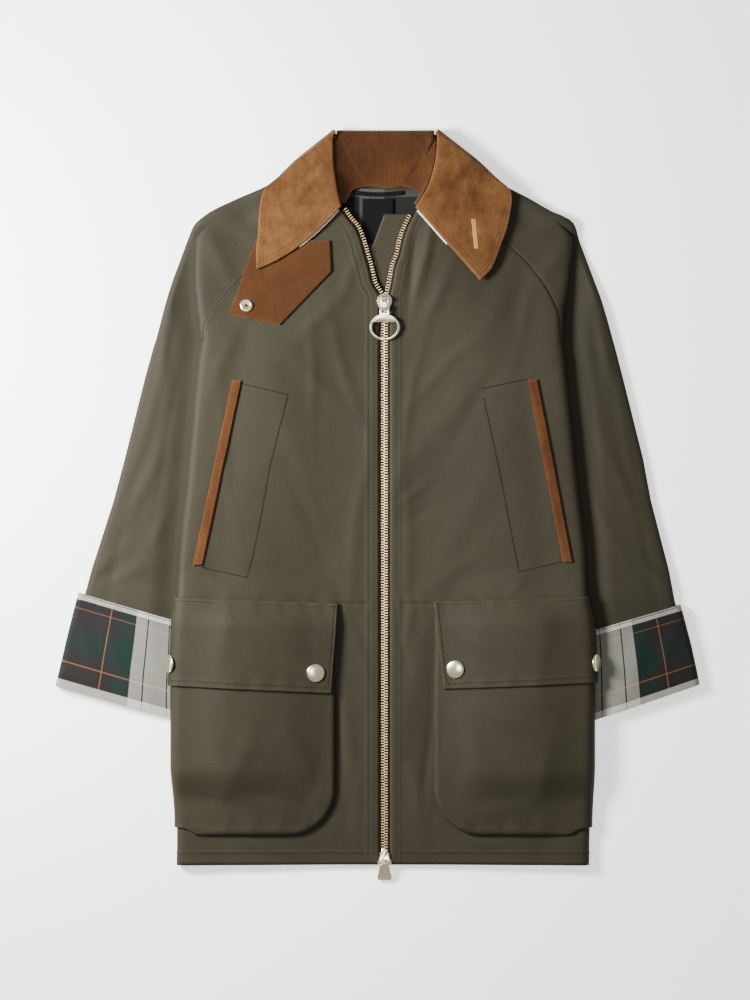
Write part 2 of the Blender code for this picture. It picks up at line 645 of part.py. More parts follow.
def zip_strip(name, side, look, inner, outer, drop, wall):
    y = np.append(ZIP_ROWS, TOP_STOP[side.name])
    columns = []
    for inward in (outer, inner):
        s, at_y = along_edge(side, y, inward)
        at_s = np.maximum(s, side.edge(y)) if drop > CHAIN_SINK else side.edge(y)
        columns.append(np.stack([side.sign * s, at_y, side.top(at_s, at_y) - drop], axis=-1))
    sheet(name + side.name, np.stack(columns, axis=1), look, wall=wall)


def box(name, low, high, look):
    """A box between two corners, in millimetres."""
    bpy.ops.mesh.primitive_cube_add(size=1)
    obj = bpy.context.object
    mesh = obj.data
    low, high = np.array(low, float), np.array(high, float)
    for vertex in mesh.vertices:
        share = np.array(vertex.co) + 0.5
        place = (low + (high - low) * share - (CENTRE_X, CENTRE_Y, 0)) * MM
        vertex.co = place.tolist()
    return take(obj, name, look)


def take(obj, name, look):
    """Moves a new object into the collection, with its name and material."""
    for collection in list(obj.users_collection):
        collection.objects.unlink(obj)
    COLLECTION.objects.link(obj)
    obj.name = name
    obj.data.name = name
    obj.data.materials.clear()
    own = look.copy()
    own.name = name
    obj.data.materials.append(own)
    return obj


def rod(name, centre, radius, length, look, sides=16, scale_y=1.0, axis="X"):
    """A cylinder along X, or upright along Z, in millimetres."""
    turn = (0, math.pi / 2, 0) if axis == "X" else (0, 0, 0)
    place = (np.array(centre, float) - (CENTRE_X, CENTRE_Y, 0)) * MM
    bpy.ops.mesh.primitive_cylinder_add(
        vertices=sides, radius=radius * MM, depth=length * MM, location=place.tolist(), rotation=turn
    )
    obj = bpy.context.object
    bpy.ops.object.transform_apply(location=False, rotation=True, scale=False)
    for vertex in obj.data.vertices:
        vertex.co.y *= scale_y
    obj.data.transform(obj.matrix_world)
    obj.matrix_world.identity()
    return take(obj, name, look)


def combine(base, other, operation):
    """Joins another solid to this one, or cuts it away, and removes the other."""
    modifier = base.modifiers.new(operation, "BOOLEAN")
    modifier.operation = operation
    modifier.object = other
    graph = bpy.context.evaluated_depsgraph_get()
    made = bpy.data.meshes.new_from_object(base.evaluated_get(graph))
    base.modifiers.clear()
    base.data = made
    bpy.data.objects.remove(other, do_unlink=True)
    return base


BAR_RADIUS = 0.8
EYE_INNER, EYE_OUTER = 1.2, 2.1
EYE_HALF = 2.3


def plate(name, outline, low_z, high_z, look):
    """A flat piece from half widths and their y, from its upper end down, between two heights."""
    right = [(half_width, y) for half_width, y in outline]
    left = [(-half_width, y) for half_width, y in reversed(outline) if half_width > 0]
    ring = left + right
    count = len(ring)
    points = [(x, y, low_z) for x, y in ring] + [(x, y, high_z) for x, y in ring]
    points = (np.array(points, float) - (CENTRE_X, CENTRE_Y, 0)) * MM
    faces = [tuple(range(count)), tuple(range(2 * count - 1, count - 1, -1))]
    faces += [(i, i + count, (i + 1) % count + count, (i + 1) % count) for i in range(count)]
    mesh = bpy.data.meshes.new(name)
    mesh.from_pydata(points.tolist(), [], faces)
    work = bmesh.new()
    work.from_mesh(mesh)
    bmesh.ops.recalc_face_normals(work, faces=work.faces)
    work.to_mesh(mesh)
    work.free()
    obj = bpy.data.objects.new(name, mesh)
    COLLECTION.objects.link(obj)
    return take(obj, name, look)


# Outlines of the two sliders: half widths and their y, from the upper end down.
TOP_BODY = (
    (1.4, 542.4), (4.8, 540.4), (6.6, 538.0), (7.1, 535.0), (6.6, 532.2), (5.1, 529.8), (4.5, 525.5),
)
BOTTOM_BODY = ((2.6, 16.2), (3.2, 13.4), (4.4, 12.0), (4.7, 9.0), (5.4, 6.8), (6.6, 4.2), (6.5, 1.4))


def slider(name, outline, bar_y, body_z, bar_z, look):
    """A slider over the chain, with two ears and the bar that its pull swings on."""
    obj = plate(name, outline, body_z, body_z + 1.8, look)
    for side in (-1, 1):
        inner = side * (EYE_HALF + 0.45)
        outer = side * (EYE_HALF + 1.6)
        low = (min(inner, outer), bar_y - 1.5, body_z + 0.9)
        high = (max(inner, outer), bar_y + 1.5, bar_z + 1.5)
        combine(obj, box("ear", low, high, look), "UNION")
    combine(obj, rod("bar", (0, bar_y, bar_z), BAR_RADIUS, 2 * EYE_HALF + 2.4, look), "UNION")
    return obj


def swing(obj, name, pivot_y, pivot_z, degrees):
    """Puts a pull on its hinge: origin on the axis, at rest at this angle to the level."""
    pivot = (np.array([0, pivot_y, pivot_z]) - (CENTRE_X, CENTRE_Y, 0)) * MM
    for vertex in obj.data.vertices:
        vertex.co = (np.array(vertex.co) - pivot).tolist()
    obj.location = pivot.tolist()
    obj.rotation_euler = (math.radians(degrees), 0, 0)
    obj.name = name


def add_eye(obj, bar_y, bar_z, reach, thickness, look):
    """A neck and an eye that turns on the slider's bar."""
    low = (-EYE_HALF, bar_y - reach, bar_z - thickness / 2)
    high = (EYE_HALF, bar_y - 0.9, bar_z + thickness / 2)
    combine(obj, box("neck", low, high, look), "UNION")
    combine(obj, rod("eye", (0, bar_y, bar_z), EYE_OUTER, 2 * EYE_HALF, look), "UNION")
    combine(obj, rod("bore", (0, bar_y, bar_z), EYE_INNER, 2 * EYE_HALF + 4, look), "DIFFERENCE")
    return obj


# The ring hangs this far below its bar, and its hole is flat across the top.
RING_DROP, RING_RADIUS, HOLE_RADIUS, RING_SQUASH = 27.3, 14.3, 12.2, 0.872
HOLE_TOP = 22.4


def ring_pull(bar_y, bar_z, look):
    """The top pull: an eye, a plate with a slot, and a ring whose upper part is solid."""
    centre = (0, bar_y - RING_DROP, bar_z)
    obj = rod("pull_ring", centre, RING_RADIUS, 2.0, look, 44, RING_SQUASH, "Z")
    hole = rod("hole", centre, HOLE_RADIUS, 6, look, 36, RING_SQUASH, "Z")
    above = box("above", (-20, bar_y - HOLE_TOP, bar_z - 5), (20, bar_y, bar_z + 5), look)
    combine(hole, above, "DIFFERENCE")
    combine(obj, hole, "DIFFERENCE")
    outline = ((4.3, bar_y - 6.2), (4.7, bar_y - 8), (4.7, bar_y - 18))
    combine(obj, plate("plate", outline, bar_z - 0.95, bar_z + 0.95, look), "UNION")
    slot = box("slot", (-2.3, bar_y - 13.8, bar_z - 3), (2.3, bar_y - 10.3, bar_z + 3), look)
    combine(obj, slot, "DIFFERENCE")
    return add_eye(obj, bar_y, bar_z, 7.0, 1.8, look)


def tab_pull(bar_y, bar_z, look):
    """The bottom pull: an eye and a plain tab that widens to its rounded end."""
    outline = (
        (3.9, bar_y - 3.5), (4.7, bar_y - 5.5), (5.4, bar_y - 10), (6.6, bar_y - 15), (6.8, bar_y - 17.5),
        (5.9, bar_y - 19.4), (3.4, bar_y - 20.1),
    )
    obj = plate("pull_bottom", outline, bar_z - 0.9, bar_z + 0.9, look)
    return add_eye(obj, bar_y, bar_z, 5.0, 1.6, look)


TOP_BAR = 537.0
TOP_TILT = 11.0
BOTTOM_BAR = 4.5
BOTTOM_TILT = 24.0


def zip_parts(tape, teeth, brass):
    for side in SIDES:
        zip_strip("zip_tape_", side, tape, 0.25, -11.0, PITCH, 1.0)
        zip_strip("zip_chain_", side, teeth, 5.0, 0.6, CHAIN_SINK, CHAIN_HEIGHT)
    top_z = float(LEFT.top(5.0, 541.0)) - CHAIN_SINK + CHAIN_HEIGHT / 2 + 0.4
    slider("slider_top", TOP_BODY, TOP_BAR, top_z, top_z + 5.4, brass)
    swing(ring_pull(TOP_BAR, top_z + 5.4, brass), "pull_ring", TOP_BAR, top_z + 5.4, TOP_TILT)
    low_z = float(LEFT.top(5.0, 10.0)) - CHAIN_SINK + CHAIN_HEIGHT / 2 + 0.4
    slider("slider_bottom", BOTTOM_BODY, BOTTOM_BAR, low_z, low_z + 4.6, brass)
    swing(tab_pull(BOTTOM_BAR, low_z + 4.6, brass), "pull_bottom", BOTTOM_BAR, low_z + 4.6, BOTTOM_TILT)


# ---------------------------------------------------------------- pockets and snaps

BAG_EDGE, BAG_BOTTOM, BAG_CORNER, BAG_TOP = 48.0, 31.0, 42.0, 236.0
BAG_RISE, BAG_PUFF = 3.6, 2.6
WRAP = 12.0  # pockets end this far round the side fold, along the cloth
FLAP = {
    # inner edge at top and bottom, top at inner and outer end, bottom at inner and outer end
    "left": (44.5, 51.0, 249.0, 255.0, 164.0, 172.0), "right": (46.5, 56.5, 251.0, 256.0, 168.0, 175.0),
}


def bag_depth(s, y):
    """Distance of a point in the bag from its sewn edge."""
    into_s, into_y = s - BAG_EDGE, y - BAG_BOTTOM
    round_part = BAG_CORNER - np.hypot(np.minimum(into_s - BAG_CORNER, 0), np.minimum(into_y - BAG_CORNER, 0))
    corner = (into_s < BAG_CORNER) & (into_y < BAG_CORNER)
    return np.where(corner, round_part, np.minimum(into_s, into_y))


def bag_rise(side, s, y, least=0.0):
    """How far the bag stands off the front, past its sewn edge."""
    depth = np.maximum(bag_depth(s, y), least)
    near_side = 1 - 0.85 * smooth((s - side.fold(y) + 50) / 42)
    return (BAG_RISE * smooth(depth / 3.2) + BAG_PUFF * smooth((depth - 3) / 45)) * near_side


def bag(side, look):
    wide = float(side.fold(100.0)) - SIDE_BEND
    s = np.concatenate([
        BAG_EDGE + np.array([0, 3.2, 9, 18, 29]), np.linspace(BAG_EDGE + BAG_CORNER, wide, 5),
        wide + np.linspace(0, WRAP, 4)[1:],
    ])
    into = np.clip(BAG_CORNER - (s - BAG_EDGE), 0, BAG_CORNER)
    bottom = BAG_BOTTOM + BAG_CORNER - np.sqrt(BAG_CORNER**2 - into**2) + 6 * smooth((s - wide + 20) / 25)
    share = np.array([0.0, 0.018, 0.06, 0.16, 0.3, 0.45, 0.6, 0.8, 1.0])[:, None]
    y = bottom + (BAG_TOP - bottom) * share
    shift = side.fold(y) - side.fold(100.0)
    s = s + np.where(s > BAG_EDGE + BAG_CORNER, shift * (s - BAG_EDGE - BAG_CORNER) / (wide - BAG_EDGE - BAG_CORNER), 0)
    out = PITCH + bag_rise(side, s, y) * smooth((252 - y) / 34)
    sheet("bag_" + side.name, side.lifted(s, y, out), look)


def flap_out(side, s, y):
    return PITCH + 0.25 + (PITCH + bag_rise(side, s, y, 3.4)) * smooth((254 - y) / 16)


def flap(side, look):
    top_s, low_s, top_in, top_out, low_in, low_out = FLAP[side.name]
    share = np.linspace(0, 1, 9)[:, None]
    across = np.concatenate([np.linspace(0, 0.93, 8), 0.93 + 0.07 * np.array([0.33, 0.66, 1.0])])
    inner = low_s + (top_s - low_s) * share
    low_y = low_in + (low_out - low_in) * across
    top_y = top_in + (top_out - top_in) * across
    y = low_y + (top_y - low_y) * share
    end = side.fold(y) - SIDE_BEND + WRAP
    s = inner + (end - inner) * across
    sheet("flap_" + side.name, side.lifted(s, y, flap_out(side, s, y)), look)


# Welts: places of the middle line, from top to bottom.
WELT = {
    "left": ((139.7, 459.8), (158, 373), (176.7, 285.0)),
    "right": ((140.0, 460.5), (160, 374), (173.0, 288.0)),
}
WELT_HALF = 4.4


def welt(side, look):
    (s0, y0), (s1, y1), (s2, y2) = WELT[side.name]
    y = np.linspace(y0, y2, 9)
    middle = np.interp(-y, (-y0, -y1, -y2), (s0, s1, s2))
    s = middle[:, None] + np.array([-WELT_HALF, 0, WELT_HALF])
    sheet("welt_" + side.name, side.lifted(s, y[:, None] + 0 * s, PITCH), look)


SNAP_RADIUS, SNAP_HEIGHT = 8.5, 2.8


def turned(name, profile, look, steps=18):
    """A turned piece: a closed profile of radius and height, swept round by a Screw modifier."""
    mesh = bpy.data.meshes.new(name)
    points = [(r * MM, 0.0, z * MM) for r, z in profile]
    closed = profile[0][0] > 0 and profile[-1][0] > 0
    edges = [(i, i + 1) for i in range(len(points) - 1)] + ([(len(points) - 1, 0)] if closed else [])
    mesh.from_pydata(points, edges, [])
    own = look.copy()
    own.name = name
    mesh.materials.append(own)
    obj = bpy.data.objects.new(name, mesh)
    COLLECTION.objects.link(obj)
    screw = obj.modifiers.new("Turn", "SCREW")
    screw.steps = screw.render_steps = steps
    screw.use_merge_vertices = True
    screw.merge_threshold = 0.00001
    return obj


def dome():
    """Outer side of a snap cap, from its crown down to the rim and in underneath."""
    arc = [(SNAP_RADIUS * math.sin(a), SNAP_HEIGHT * math.cos(a)) for a in np.linspace(0, math.pi / 2 * 0.93, 5)]
    return [(0.0, SNAP_HEIGHT)] + arc[1:] + [(SNAP_RADIUS * 0.97, 0.0), (0.0, 0.0)]


def seat(obj, side, s, y, cloth, gap):
    """Places a turned piece on a layer of cloth, facing out along its normal."""
    step = 3.0
    at = side.lifted(s, y, cloth(s, y))
    along = side.lifted(s + step, y, cloth(s + step, y)) - side.lifted(s - step, y, cloth(s - step, y))
    up = side.lifted(s, y + step, cloth(s, y + step)) - side.lifted(s, y - step, cloth(s, y - step))
    z_axis = np.cross(along, up) * side.sign
    z_axis /= np.linalg.norm(z_axis)
    at = at + z_axis * (WALL / 2 + gap)
    x_axis = np.cross((0.0, 1.0, 0.0), z_axis)
    x_axis /= np.linalg.norm(x_axis)
    y_axis = np.cross(z_axis, x_axis)
    place = (at - (CENTRE_X, CENTRE_Y, 0)) * MM
    matrix = np.eye(4)
    matrix[:3, 0], matrix[:3, 1], matrix[:3, 2], matrix[:3, 3] = x_axis, y_axis, z_axis, place
    obj.matrix_world = [list(row) for row in matrix.T]


SNAP_AT = {"left": (66.0, 183.5), "right": (68.0, 187.0)}
SIDE_SNAP_Y = {"left": 192.0, "right": 193.0}
SIDE_SNAP_TURN = 7.2  # along the cloth, past the start of the side fold


def snaps(brass):
    for side in SIDES:
        s, y = SNAP_AT[side.name]
        cap = turned("snap_" + side.name, dome(), brass)
        seat(cap, side, s, y, lambda a, b: flap_out(side, a, b), 0.5)
        y = SIDE_SNAP_Y[side.name]
        s = float(side.fold(y)) - SIDE_BEND + SIDE_SNAP_TURN
        cap = turned(f"snap_{side.name}_side", dome(), brass)
        seat(cap, side, s, y, lambda a, b: flap_out(side, a, b), 0.4)
    ring = [(3.0, 1.1), (3.4, 1.9), (5.4, 1.7), (6.2, 0.9), (6.2, 0.0), (3.0, 0.0)]
    cap = turned("tab_snap", ring, brass)
    seat(cap, LEFT, 130.6, 530.0, lambda a, b: PITCH + 0.35 + 0 * a, 0.4)


COLLECTION = clear_scene()
OLIVE = material("waxed_olive", (0.095, 0.080, 0.050), 0.55)
CHECK = material("checked_cotton", (0.40, 0.38, 0.32), 0.80)
CORD = material("needlecord", (0.24, 0.11, 0.038), 0.90)
STAND_CORD = material("needlecord_inside", (0.15, 0.06, 0.02), 0.90)
PALE = material("undercollar_cotton", (0.62, 0.55, 0.42), 0.85)
LINING = material("checked_lining", (0.06, 0.065, 0.06), 0.85)
DARK = material("plain_label", (0.02, 0.022, 0.03), 0.70)
TAPE = material("zip_tape", (0.07, 0.06, 0.04), 0.85)
TEETH = material("zip_teeth", (0.62, 0.45, 0.24), 0.35, 1.0)
BRASS = material("pale_brass", (0.75, 0.67, 0.50), 0.28, 1.0)

for half in SIDES:
    front(half, OLIVE)
    sleeve(half, OLIVE)
    cuff(half, CHECK)
    bag(half, OLIVE)
    flap(half, OLIVE)
    welt(half, CORD)
back(OLIVE)
collar_fall(CORD)
collar_stand(STAND_CORD)
undercollar(LEFT, FALL_LEFT, PALE)
undercollar(RIGHT, FALL_RIGHT, PALE)
throat_tab(CORD)
neck_inside(LINING, DARK, DARK, OLIVE)
zip_parts(TAPE, TEETH, BRASS)
snaps(BRASS)
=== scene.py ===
# %% [markdown]
# # Waxed cotton jacket, laid flat
# This lesson dresses the plain solids of a jacket. The cloth is built again on the same sizes with
# many more points, so that it can carry creases, raised plackets and hems. The sewing, the zip's
# teeth and the metal parts follow. Lengths in the tables are millimetres, measured from the zip
# (x or s, outward) and from the hem (y, up). Blender gets metres.

# %% Load the fixed frame
import json
import math

import bmesh
import bpy
import numpy as np
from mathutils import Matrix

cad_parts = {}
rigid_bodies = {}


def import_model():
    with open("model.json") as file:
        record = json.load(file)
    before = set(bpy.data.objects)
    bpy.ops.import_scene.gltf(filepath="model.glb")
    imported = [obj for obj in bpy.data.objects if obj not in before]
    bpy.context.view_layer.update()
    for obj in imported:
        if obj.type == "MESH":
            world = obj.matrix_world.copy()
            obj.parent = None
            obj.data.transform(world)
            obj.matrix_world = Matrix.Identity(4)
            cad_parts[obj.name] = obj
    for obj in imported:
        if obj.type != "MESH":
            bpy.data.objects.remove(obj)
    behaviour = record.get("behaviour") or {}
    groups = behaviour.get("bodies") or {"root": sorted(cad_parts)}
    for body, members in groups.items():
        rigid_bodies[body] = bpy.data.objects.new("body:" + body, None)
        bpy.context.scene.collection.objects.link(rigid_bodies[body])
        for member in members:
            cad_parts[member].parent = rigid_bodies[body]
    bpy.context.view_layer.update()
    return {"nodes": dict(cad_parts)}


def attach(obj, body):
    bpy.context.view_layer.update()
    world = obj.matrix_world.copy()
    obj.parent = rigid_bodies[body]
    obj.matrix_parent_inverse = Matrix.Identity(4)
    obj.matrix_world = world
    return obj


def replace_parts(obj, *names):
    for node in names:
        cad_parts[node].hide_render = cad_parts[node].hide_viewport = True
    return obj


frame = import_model()
BODY = "jacket"
MM = 0.001
CENTRE_X, CENTRE_Y = -6.65, 342.0

# %% [markdown]
# ## Camera, floor and light
# The jacket lies on a pale floor and the camera looks straight down at it. A long lens keeps the
# sleeves from spreading. A small soft light low at the upper left shapes the folds, a wider and
# weaker one hangs high overhead, and the pale world keeps the shadows light.

# %% Helpers and camera
def added(name, data):
    """A new object of this data, in the scene."""
    obj = bpy.data.objects.new(name, data)
    bpy.context.scene.collection.objects.link(obj)
    return obj


def metres(points):
    """Points in the tables' millimetres, as metres in the frame."""
    return (np.asarray(points, float) - (CENTRE_X, CENTRE_Y, 0.0)) * MM


def settled(obj):
    """The object's mesh with its modifiers applied; the object is left without them."""
    mesh = bpy.data.meshes.new_from_object(obj.evaluated_get(bpy.context.evaluated_depsgraph_get()))
    obj.modifiers.clear()
    return mesh


MERGE = 0.000002  # points nearer than this are one, in metres
FLAT_ENOUGH = math.radians(2)  # faces that turn less than this are one face


def mend(mesh, merge=False, flatten=False, normals=False):
    """Merges doubled points, dissolves flat edges, or turns every face outward."""
    work = bmesh.new()
    work.from_mesh(mesh)
    if merge:
        bmesh.ops.remove_doubles(work, verts=work.verts, dist=MERGE)
    if flatten:
        bmesh.ops.dissolve_limit(work, angle_limit=FLAT_ENOUGH, verts=work.verts, edges=work.edges)
    if normals:
        bmesh.ops.recalc_face_normals(work, faces=work.faces)
    work.to_mesh(mesh)
    work.free()


LENS = 100.0
SENSOR = 36.0
PICTURE_HEIGHT = 950.0 * MM
PICTURE_MIDDLE = (-9.0, 346.75)  # the point below the camera, in the tables' millimetres
camera_data = bpy.data.cameras.new("camera")
camera_data.lens = LENS
camera_data.sensor_width = SENSOR
camera = added("camera", camera_data)
camera.location = metres((*PICTURE_MIDDLE, 0.0))
camera.location.z = LENS * PICTURE_HEIGHT / SENSOR
bpy.context.scene.camera = camera
print("camera height", round(camera.location.z, 3))


# %% Lights
def soft_light(name, place, size, power):
    """An area light that points at the middle of the jacket."""
    data = bpy.data.lights.new(name, "AREA")
    data.size = size
    data.energy = power
    obj = added(name, data)
    obj.location = place
    aim = -obj.location
    obj.rotation_euler = aim.to_track_quat("-Z", "Y").to_euler()


soft_light("key", place=(-0.66, 0.22, 0.60), size=0.30, power=36)
soft_light("overhead", place=(-0.15, 0.0, 3.0), size=0.9, power=19)
WORLD_COLOUR, WORLD_STRENGTH = (1.0, 1.0, 0.99, 1.0), 0.42
world = bpy.data.worlds.new("studio")
world.use_nodes = True
background = world.node_tree.nodes["Background"]
background.inputs["Color"].default_value = WORLD_COLOUR
background.inputs["Strength"].default_value = WORLD_STRENGTH
bpy.context.scene.world = world

# %% [markdown]
# ## Shader maths as Python
# A material's pattern is a chain of maths nodes. A small class wraps a socket, so that an ordinary
# expression such as `1 - mask * 0.3` adds the nodes by itself. One method adds any other node.


# %% Socket wrapper and finish builder
def plug(tree, socket, value):
    """Links a wire or an output to a socket, or sets the socket's own value."""
    value = getattr(value, "socket", value)
    if isinstance(value, bpy.types.NodeSocket):
        tree.links.new(value, socket)
    else:
        socket.default_value = value


def add_node(tree, kind, settings, inputs):
    """Any node: its settings first, then the values or links of its sockets."""
    node = tree.nodes.new(kind)
    for key, value in (settings or {}).items():
        setattr(node, key, value)
    for key, value in (inputs or {}).items():
        plug(tree, node.inputs[key], value)
    return node


class Wire:
    """An output socket in a finish, usable in Python expressions."""

    def __init__(self, finish, socket):
        self.finish = finish
        self.socket = socket

    def maths(self, operation, *values, clamp=False):
        node = self.finish.tree.nodes.new("ShaderNodeMath")
        node.operation = operation
        node.use_clamp = clamp
        for socket, value in zip(node.inputs, values):
            plug(self.finish.tree, socket, value)
        return Wire(self.finish, node.outputs[0])

    def __add__(self, other):
        return self.maths("ADD", self, other)

    def __radd__(self, other):
        return self.maths("ADD", other, self)

    def __sub__(self, other):
        return self.maths("SUBTRACT", self, other)

    def __rsub__(self, other):
        return self.maths("SUBTRACT", other, self)

    def __mul__(self, other):
        return self.maths("MULTIPLY", self, other)

    def __rmul__(self, other):
        return self.maths("MULTIPLY", other, self)

    def sine(self):
        return self.maths("SINE", self)

    def wrapped(self, period):
        """What is left over after whole periods."""
        return self.maths("FLOORED_MODULO", self, period)

    def band(self, low, high, soft=0.0002):
        """1 between two values and 0 outside, with a soft edge."""
        up = self.maths("DIVIDE", self - low, soft, clamp=True)
        down = self.maths("DIVIDE", high - self, soft, clamp=True)
        return up * down

    def clamped(self):
        return self.maths("ADD", self, 0.0, clamp=True)


class Finish:
    """A material that is built from named nodes."""

    def __init__(self, name, roughness, metallic=0.0, sheen=0.0, sheen_roughness=0.5, gloss=0.5):
        self.material = bpy.data.materials.new(name)
        self.material.use_nodes = True
        self.tree = self.material.node_tree
        self.shader = self.tree.nodes["Principled BSDF"]
        self.shader.inputs["Roughness"].default_value = roughness
        self.shader.inputs["Metallic"].default_value = metallic
        self.shader.inputs["Sheen Weight"].default_value = sheen
        self.shader.inputs["Sheen Roughness"].default_value = sheen_roughness
        self.shader.inputs["Specular IOR Level"].default_value = gloss

    def node(self, kind, settings=None, inputs=None, output=0):
        """The wire from one output of a new node."""
        return Wire(self, add_node(self.tree, kind, settings, inputs).outputs[output])

    def place(self):
        """Object coordinates, in metres."""
        return self.node("ShaderNodeTexCoord", output="Object")

    def cloth_place(self):
        """The cloth's own map: across and along, in metres, as two wires."""
        chart = self.node("ShaderNodeUVMap", {"uv_map": "cloth"})
        parts = add_node(self.tree, "ShaderNodeSeparateXYZ", None, {0: chart})
        return Wire(self, parts.outputs["X"]), Wire(self, parts.outputs["Y"])

    def noise(self, scale, detail=2.0, roughness=0.5, stretch=(1, 1, 1)):
        where = self.node("ShaderNodeMapping", inputs={"Vector": self.place(), "Scale": stretch})
        inputs = {"Vector": where, "Scale": scale, "Detail": detail, "Roughness": roughness}
        return self.node("ShaderNodeTexNoise", inputs=inputs)

    def attribute(self, name):
        return self.node("ShaderNodeAttribute", {"attribute_name": name}, output="Fac")

    def mix(self, share, first, second, blend="MIX"):
        """Colours mixed by a wire or a number."""
        made = add_node(
            self.tree, "ShaderNodeMix", {"data_type": "RGBA", "blend_type": blend}, {0: share}
        )
        for socket, value in ((made.inputs[6], first), (made.inputs[7], second)):
            plug(self.tree, socket, (*value, 1.0) if isinstance(value, tuple) else value)
        return Wire(self, made.outputs[2])

    def set(self, name, wire):
        plug(self.tree, self.shader.inputs[name], wire)

    def bump(self, height, depth):
        """A relief: height from 0 to 1, and its depth in metres."""
        inputs = {"Height": height, "Distance": depth, "Strength": 1.0}
        self.set("Normal", self.node("ShaderNodeBump", inputs=inputs))


print("finish builder ready")

# %% [markdown]
# ## Finishes
# Waxed cotton is a tight plain weave filled with wax. It has a low, patchy gloss: smoother where
# the wax is thick, paler and duller where handling has rubbed it off, which is mostly along edges.
# The mesh carries an attribute that is 1 at a panel's edges, and the finish reads it for that wear.


# %% Waxed cotton
def waxed_cotton(name, dark, pale, edge):
    look = Finish(name, 0.55, gloss=0.16)
    patches = look.noise(7.0, 3.0, 0.55)
    mottle = look.noise(55.0, 4.0, 0.65)
    weave_x = look.noise(900.0, 1.0, 0.5, (1.0, 0.25, 1.0))
    weave_y = look.noise(900.0, 1.0, 0.5, (0.25, 1.0, 1.0))
    weave = (weave_x + weave_y) * 0.5
    worn = look.attribute("edge")
    tone = (patches * 0.9 + mottle * 0.5 + weave * 0.25 - 0.34).clamped()
    colour = look.mix(tone, dark, pale)
    look.set("Base Color", look.mix((worn * (0.10 + mottle * 0.6)).clamped(), colour, edge))
    look.set("Roughness", 0.54 + patches * 0.16 + mottle * 0.10 + worn * 0.06)
    look.bump(weave + mottle * 0.6, 0.00022)
    return look.material


OLIVE = waxed_cotton(
    "waxed_olive", (0.0150, 0.0129, 0.0066), (0.0284, 0.0243, 0.0131), (0.036, 0.0314, 0.0180)
)
# A darker copy of the same waxed olive, for both sleeves: painted shade, not a different cloth.
OLIVE_SHADED_SLEEVE = waxed_cotton(
    "waxed_olive_sleeve", (0.0140, 0.0120, 0.0062), (0.0262, 0.0224, 0.0121),
    (0.033, 0.0287, 0.0165)
)
print("waxed cotton finishes made")

# %% [markdown]
# Needlecord has fine raised ribs of cut pile, about one and a half millimetres apart. Pile looks
# paler where it is seen at a slant, so it gets sheen, and rubbing shows as soft patches.


# %% Needlecord
RIB = 0.0015


def needlecord(name, dark, pale, slant=0.0, relief=1.0, contrast=0.42):
    look = Finish(name, 0.9, sheen=0.12, sheen_roughness=0.45, gloss=0.1)
    across, along = look.cloth_place()
    over_wales = along * math.cos(slant) + across * math.sin(slant)
    ribs = (over_wales * (2 * math.pi / RIB) + look.noise(60.0) * 1.6).sine() * 0.5 + 0.5
    rubbed = look.noise(26.0, 4.0, 0.62)
    pile = look.noise(700.0, 2.0)
    worn = look.attribute("edge")
    nap = look.noise(210.0, 3.0, 0.6, (1.0, 0.45, 1.0))
    tone = (
        rubbed * 1.7 + nap * 0.62 + pile * 0.35 + ribs * contrast * relief - 1.10 + worn * 0.20
    ).clamped()
    look.set("Base Color", look.mix(tone, dark, pale))
    look.bump(ribs * relief + nap * 0.4 + pile * 0.45, 0.00026)
    return look.material


CORD = needlecord("needlecord", (0.047, 0.0175, 0.0048), (0.150, 0.067, 0.0215), relief=0.4)
# A much darker copy of the collar's cord for the throat tab: painted shade from the collar fall.
CORD_TAB_SHADED = needlecord(
    "needlecord_tab", (0.0165, 0.0055, 0.0014), (0.056, 0.0212, 0.0058), slant=-0.45, contrast=0.95
)
CORD_STAND = needlecord(
    "needlecord_stand", (0.024, 0.0077, 0.0018), (0.066, 0.0240, 0.0064), slant=math.pi / 2
)
CORD_WELT = needlecord("needlecord_welt", (0.034, 0.0112, 0.0029), (0.092, 0.034, 0.0098))
print("needlecord finishes made")

# %% [markdown]
# The cuffs are turned back to show a woven check. A check is two sets of stripes, one across and
# one along, that mix half and half. This one is a plain design made for this lesson: wide cream and
# dark bands with thin lines between them.


# %% Woven check
def stripes(look, at, period, ground, bands):
    """A run of coloured bands, each from low to high within one period, all in metres."""
    where = at.wrapped(period)
    colour = ground
    for low, high, paint in bands:
        colour = look.mix(where.band(low, high, 0.00025), colour, paint)
    return colour


CREAM, PALE_CREAM = (0.27, 0.26, 0.22), (0.48, 0.46, 0.41)
GREEN, CHARCOAL, GREY = (0.0030, 0.0140, 0.0102), (0.0105, 0.0094, 0.0088), (0.072, 0.074, 0.068)
ORANGE, LINE = (0.20, 0.085, 0.030), (0.0117, 0.0091, 0.0117)


def woven_check(name, warp_bands, warp_period, weft_bands, weft_period, ground, dim=1.0):
    look = Finish(name, 0.82, gloss=0.15)
    across, along = look.cloth_place()
    warp = stripes(look, across, warp_period, ground, warp_bands)
    weft = stripes(look, along, weft_period, ground, weft_bands)
    twill = ((across + along) * (2 * math.pi / 0.0011)).sine() * 0.5 + 0.5
    soft = look.noise(90.0, 3.0)
    colour = look.mix(0.42 + twill * 0.05, warp, weft)
    shade = look.mix((soft * 0.5).clamped(), (dim, dim, dim), (dim * 0.82, dim * 0.82, dim * 0.80))
    look.set("Base Color", look.mix(1.0, colour, shade, blend="MULTIPLY"))
    look.bump(twill + soft, 0.00012)
    return look.material


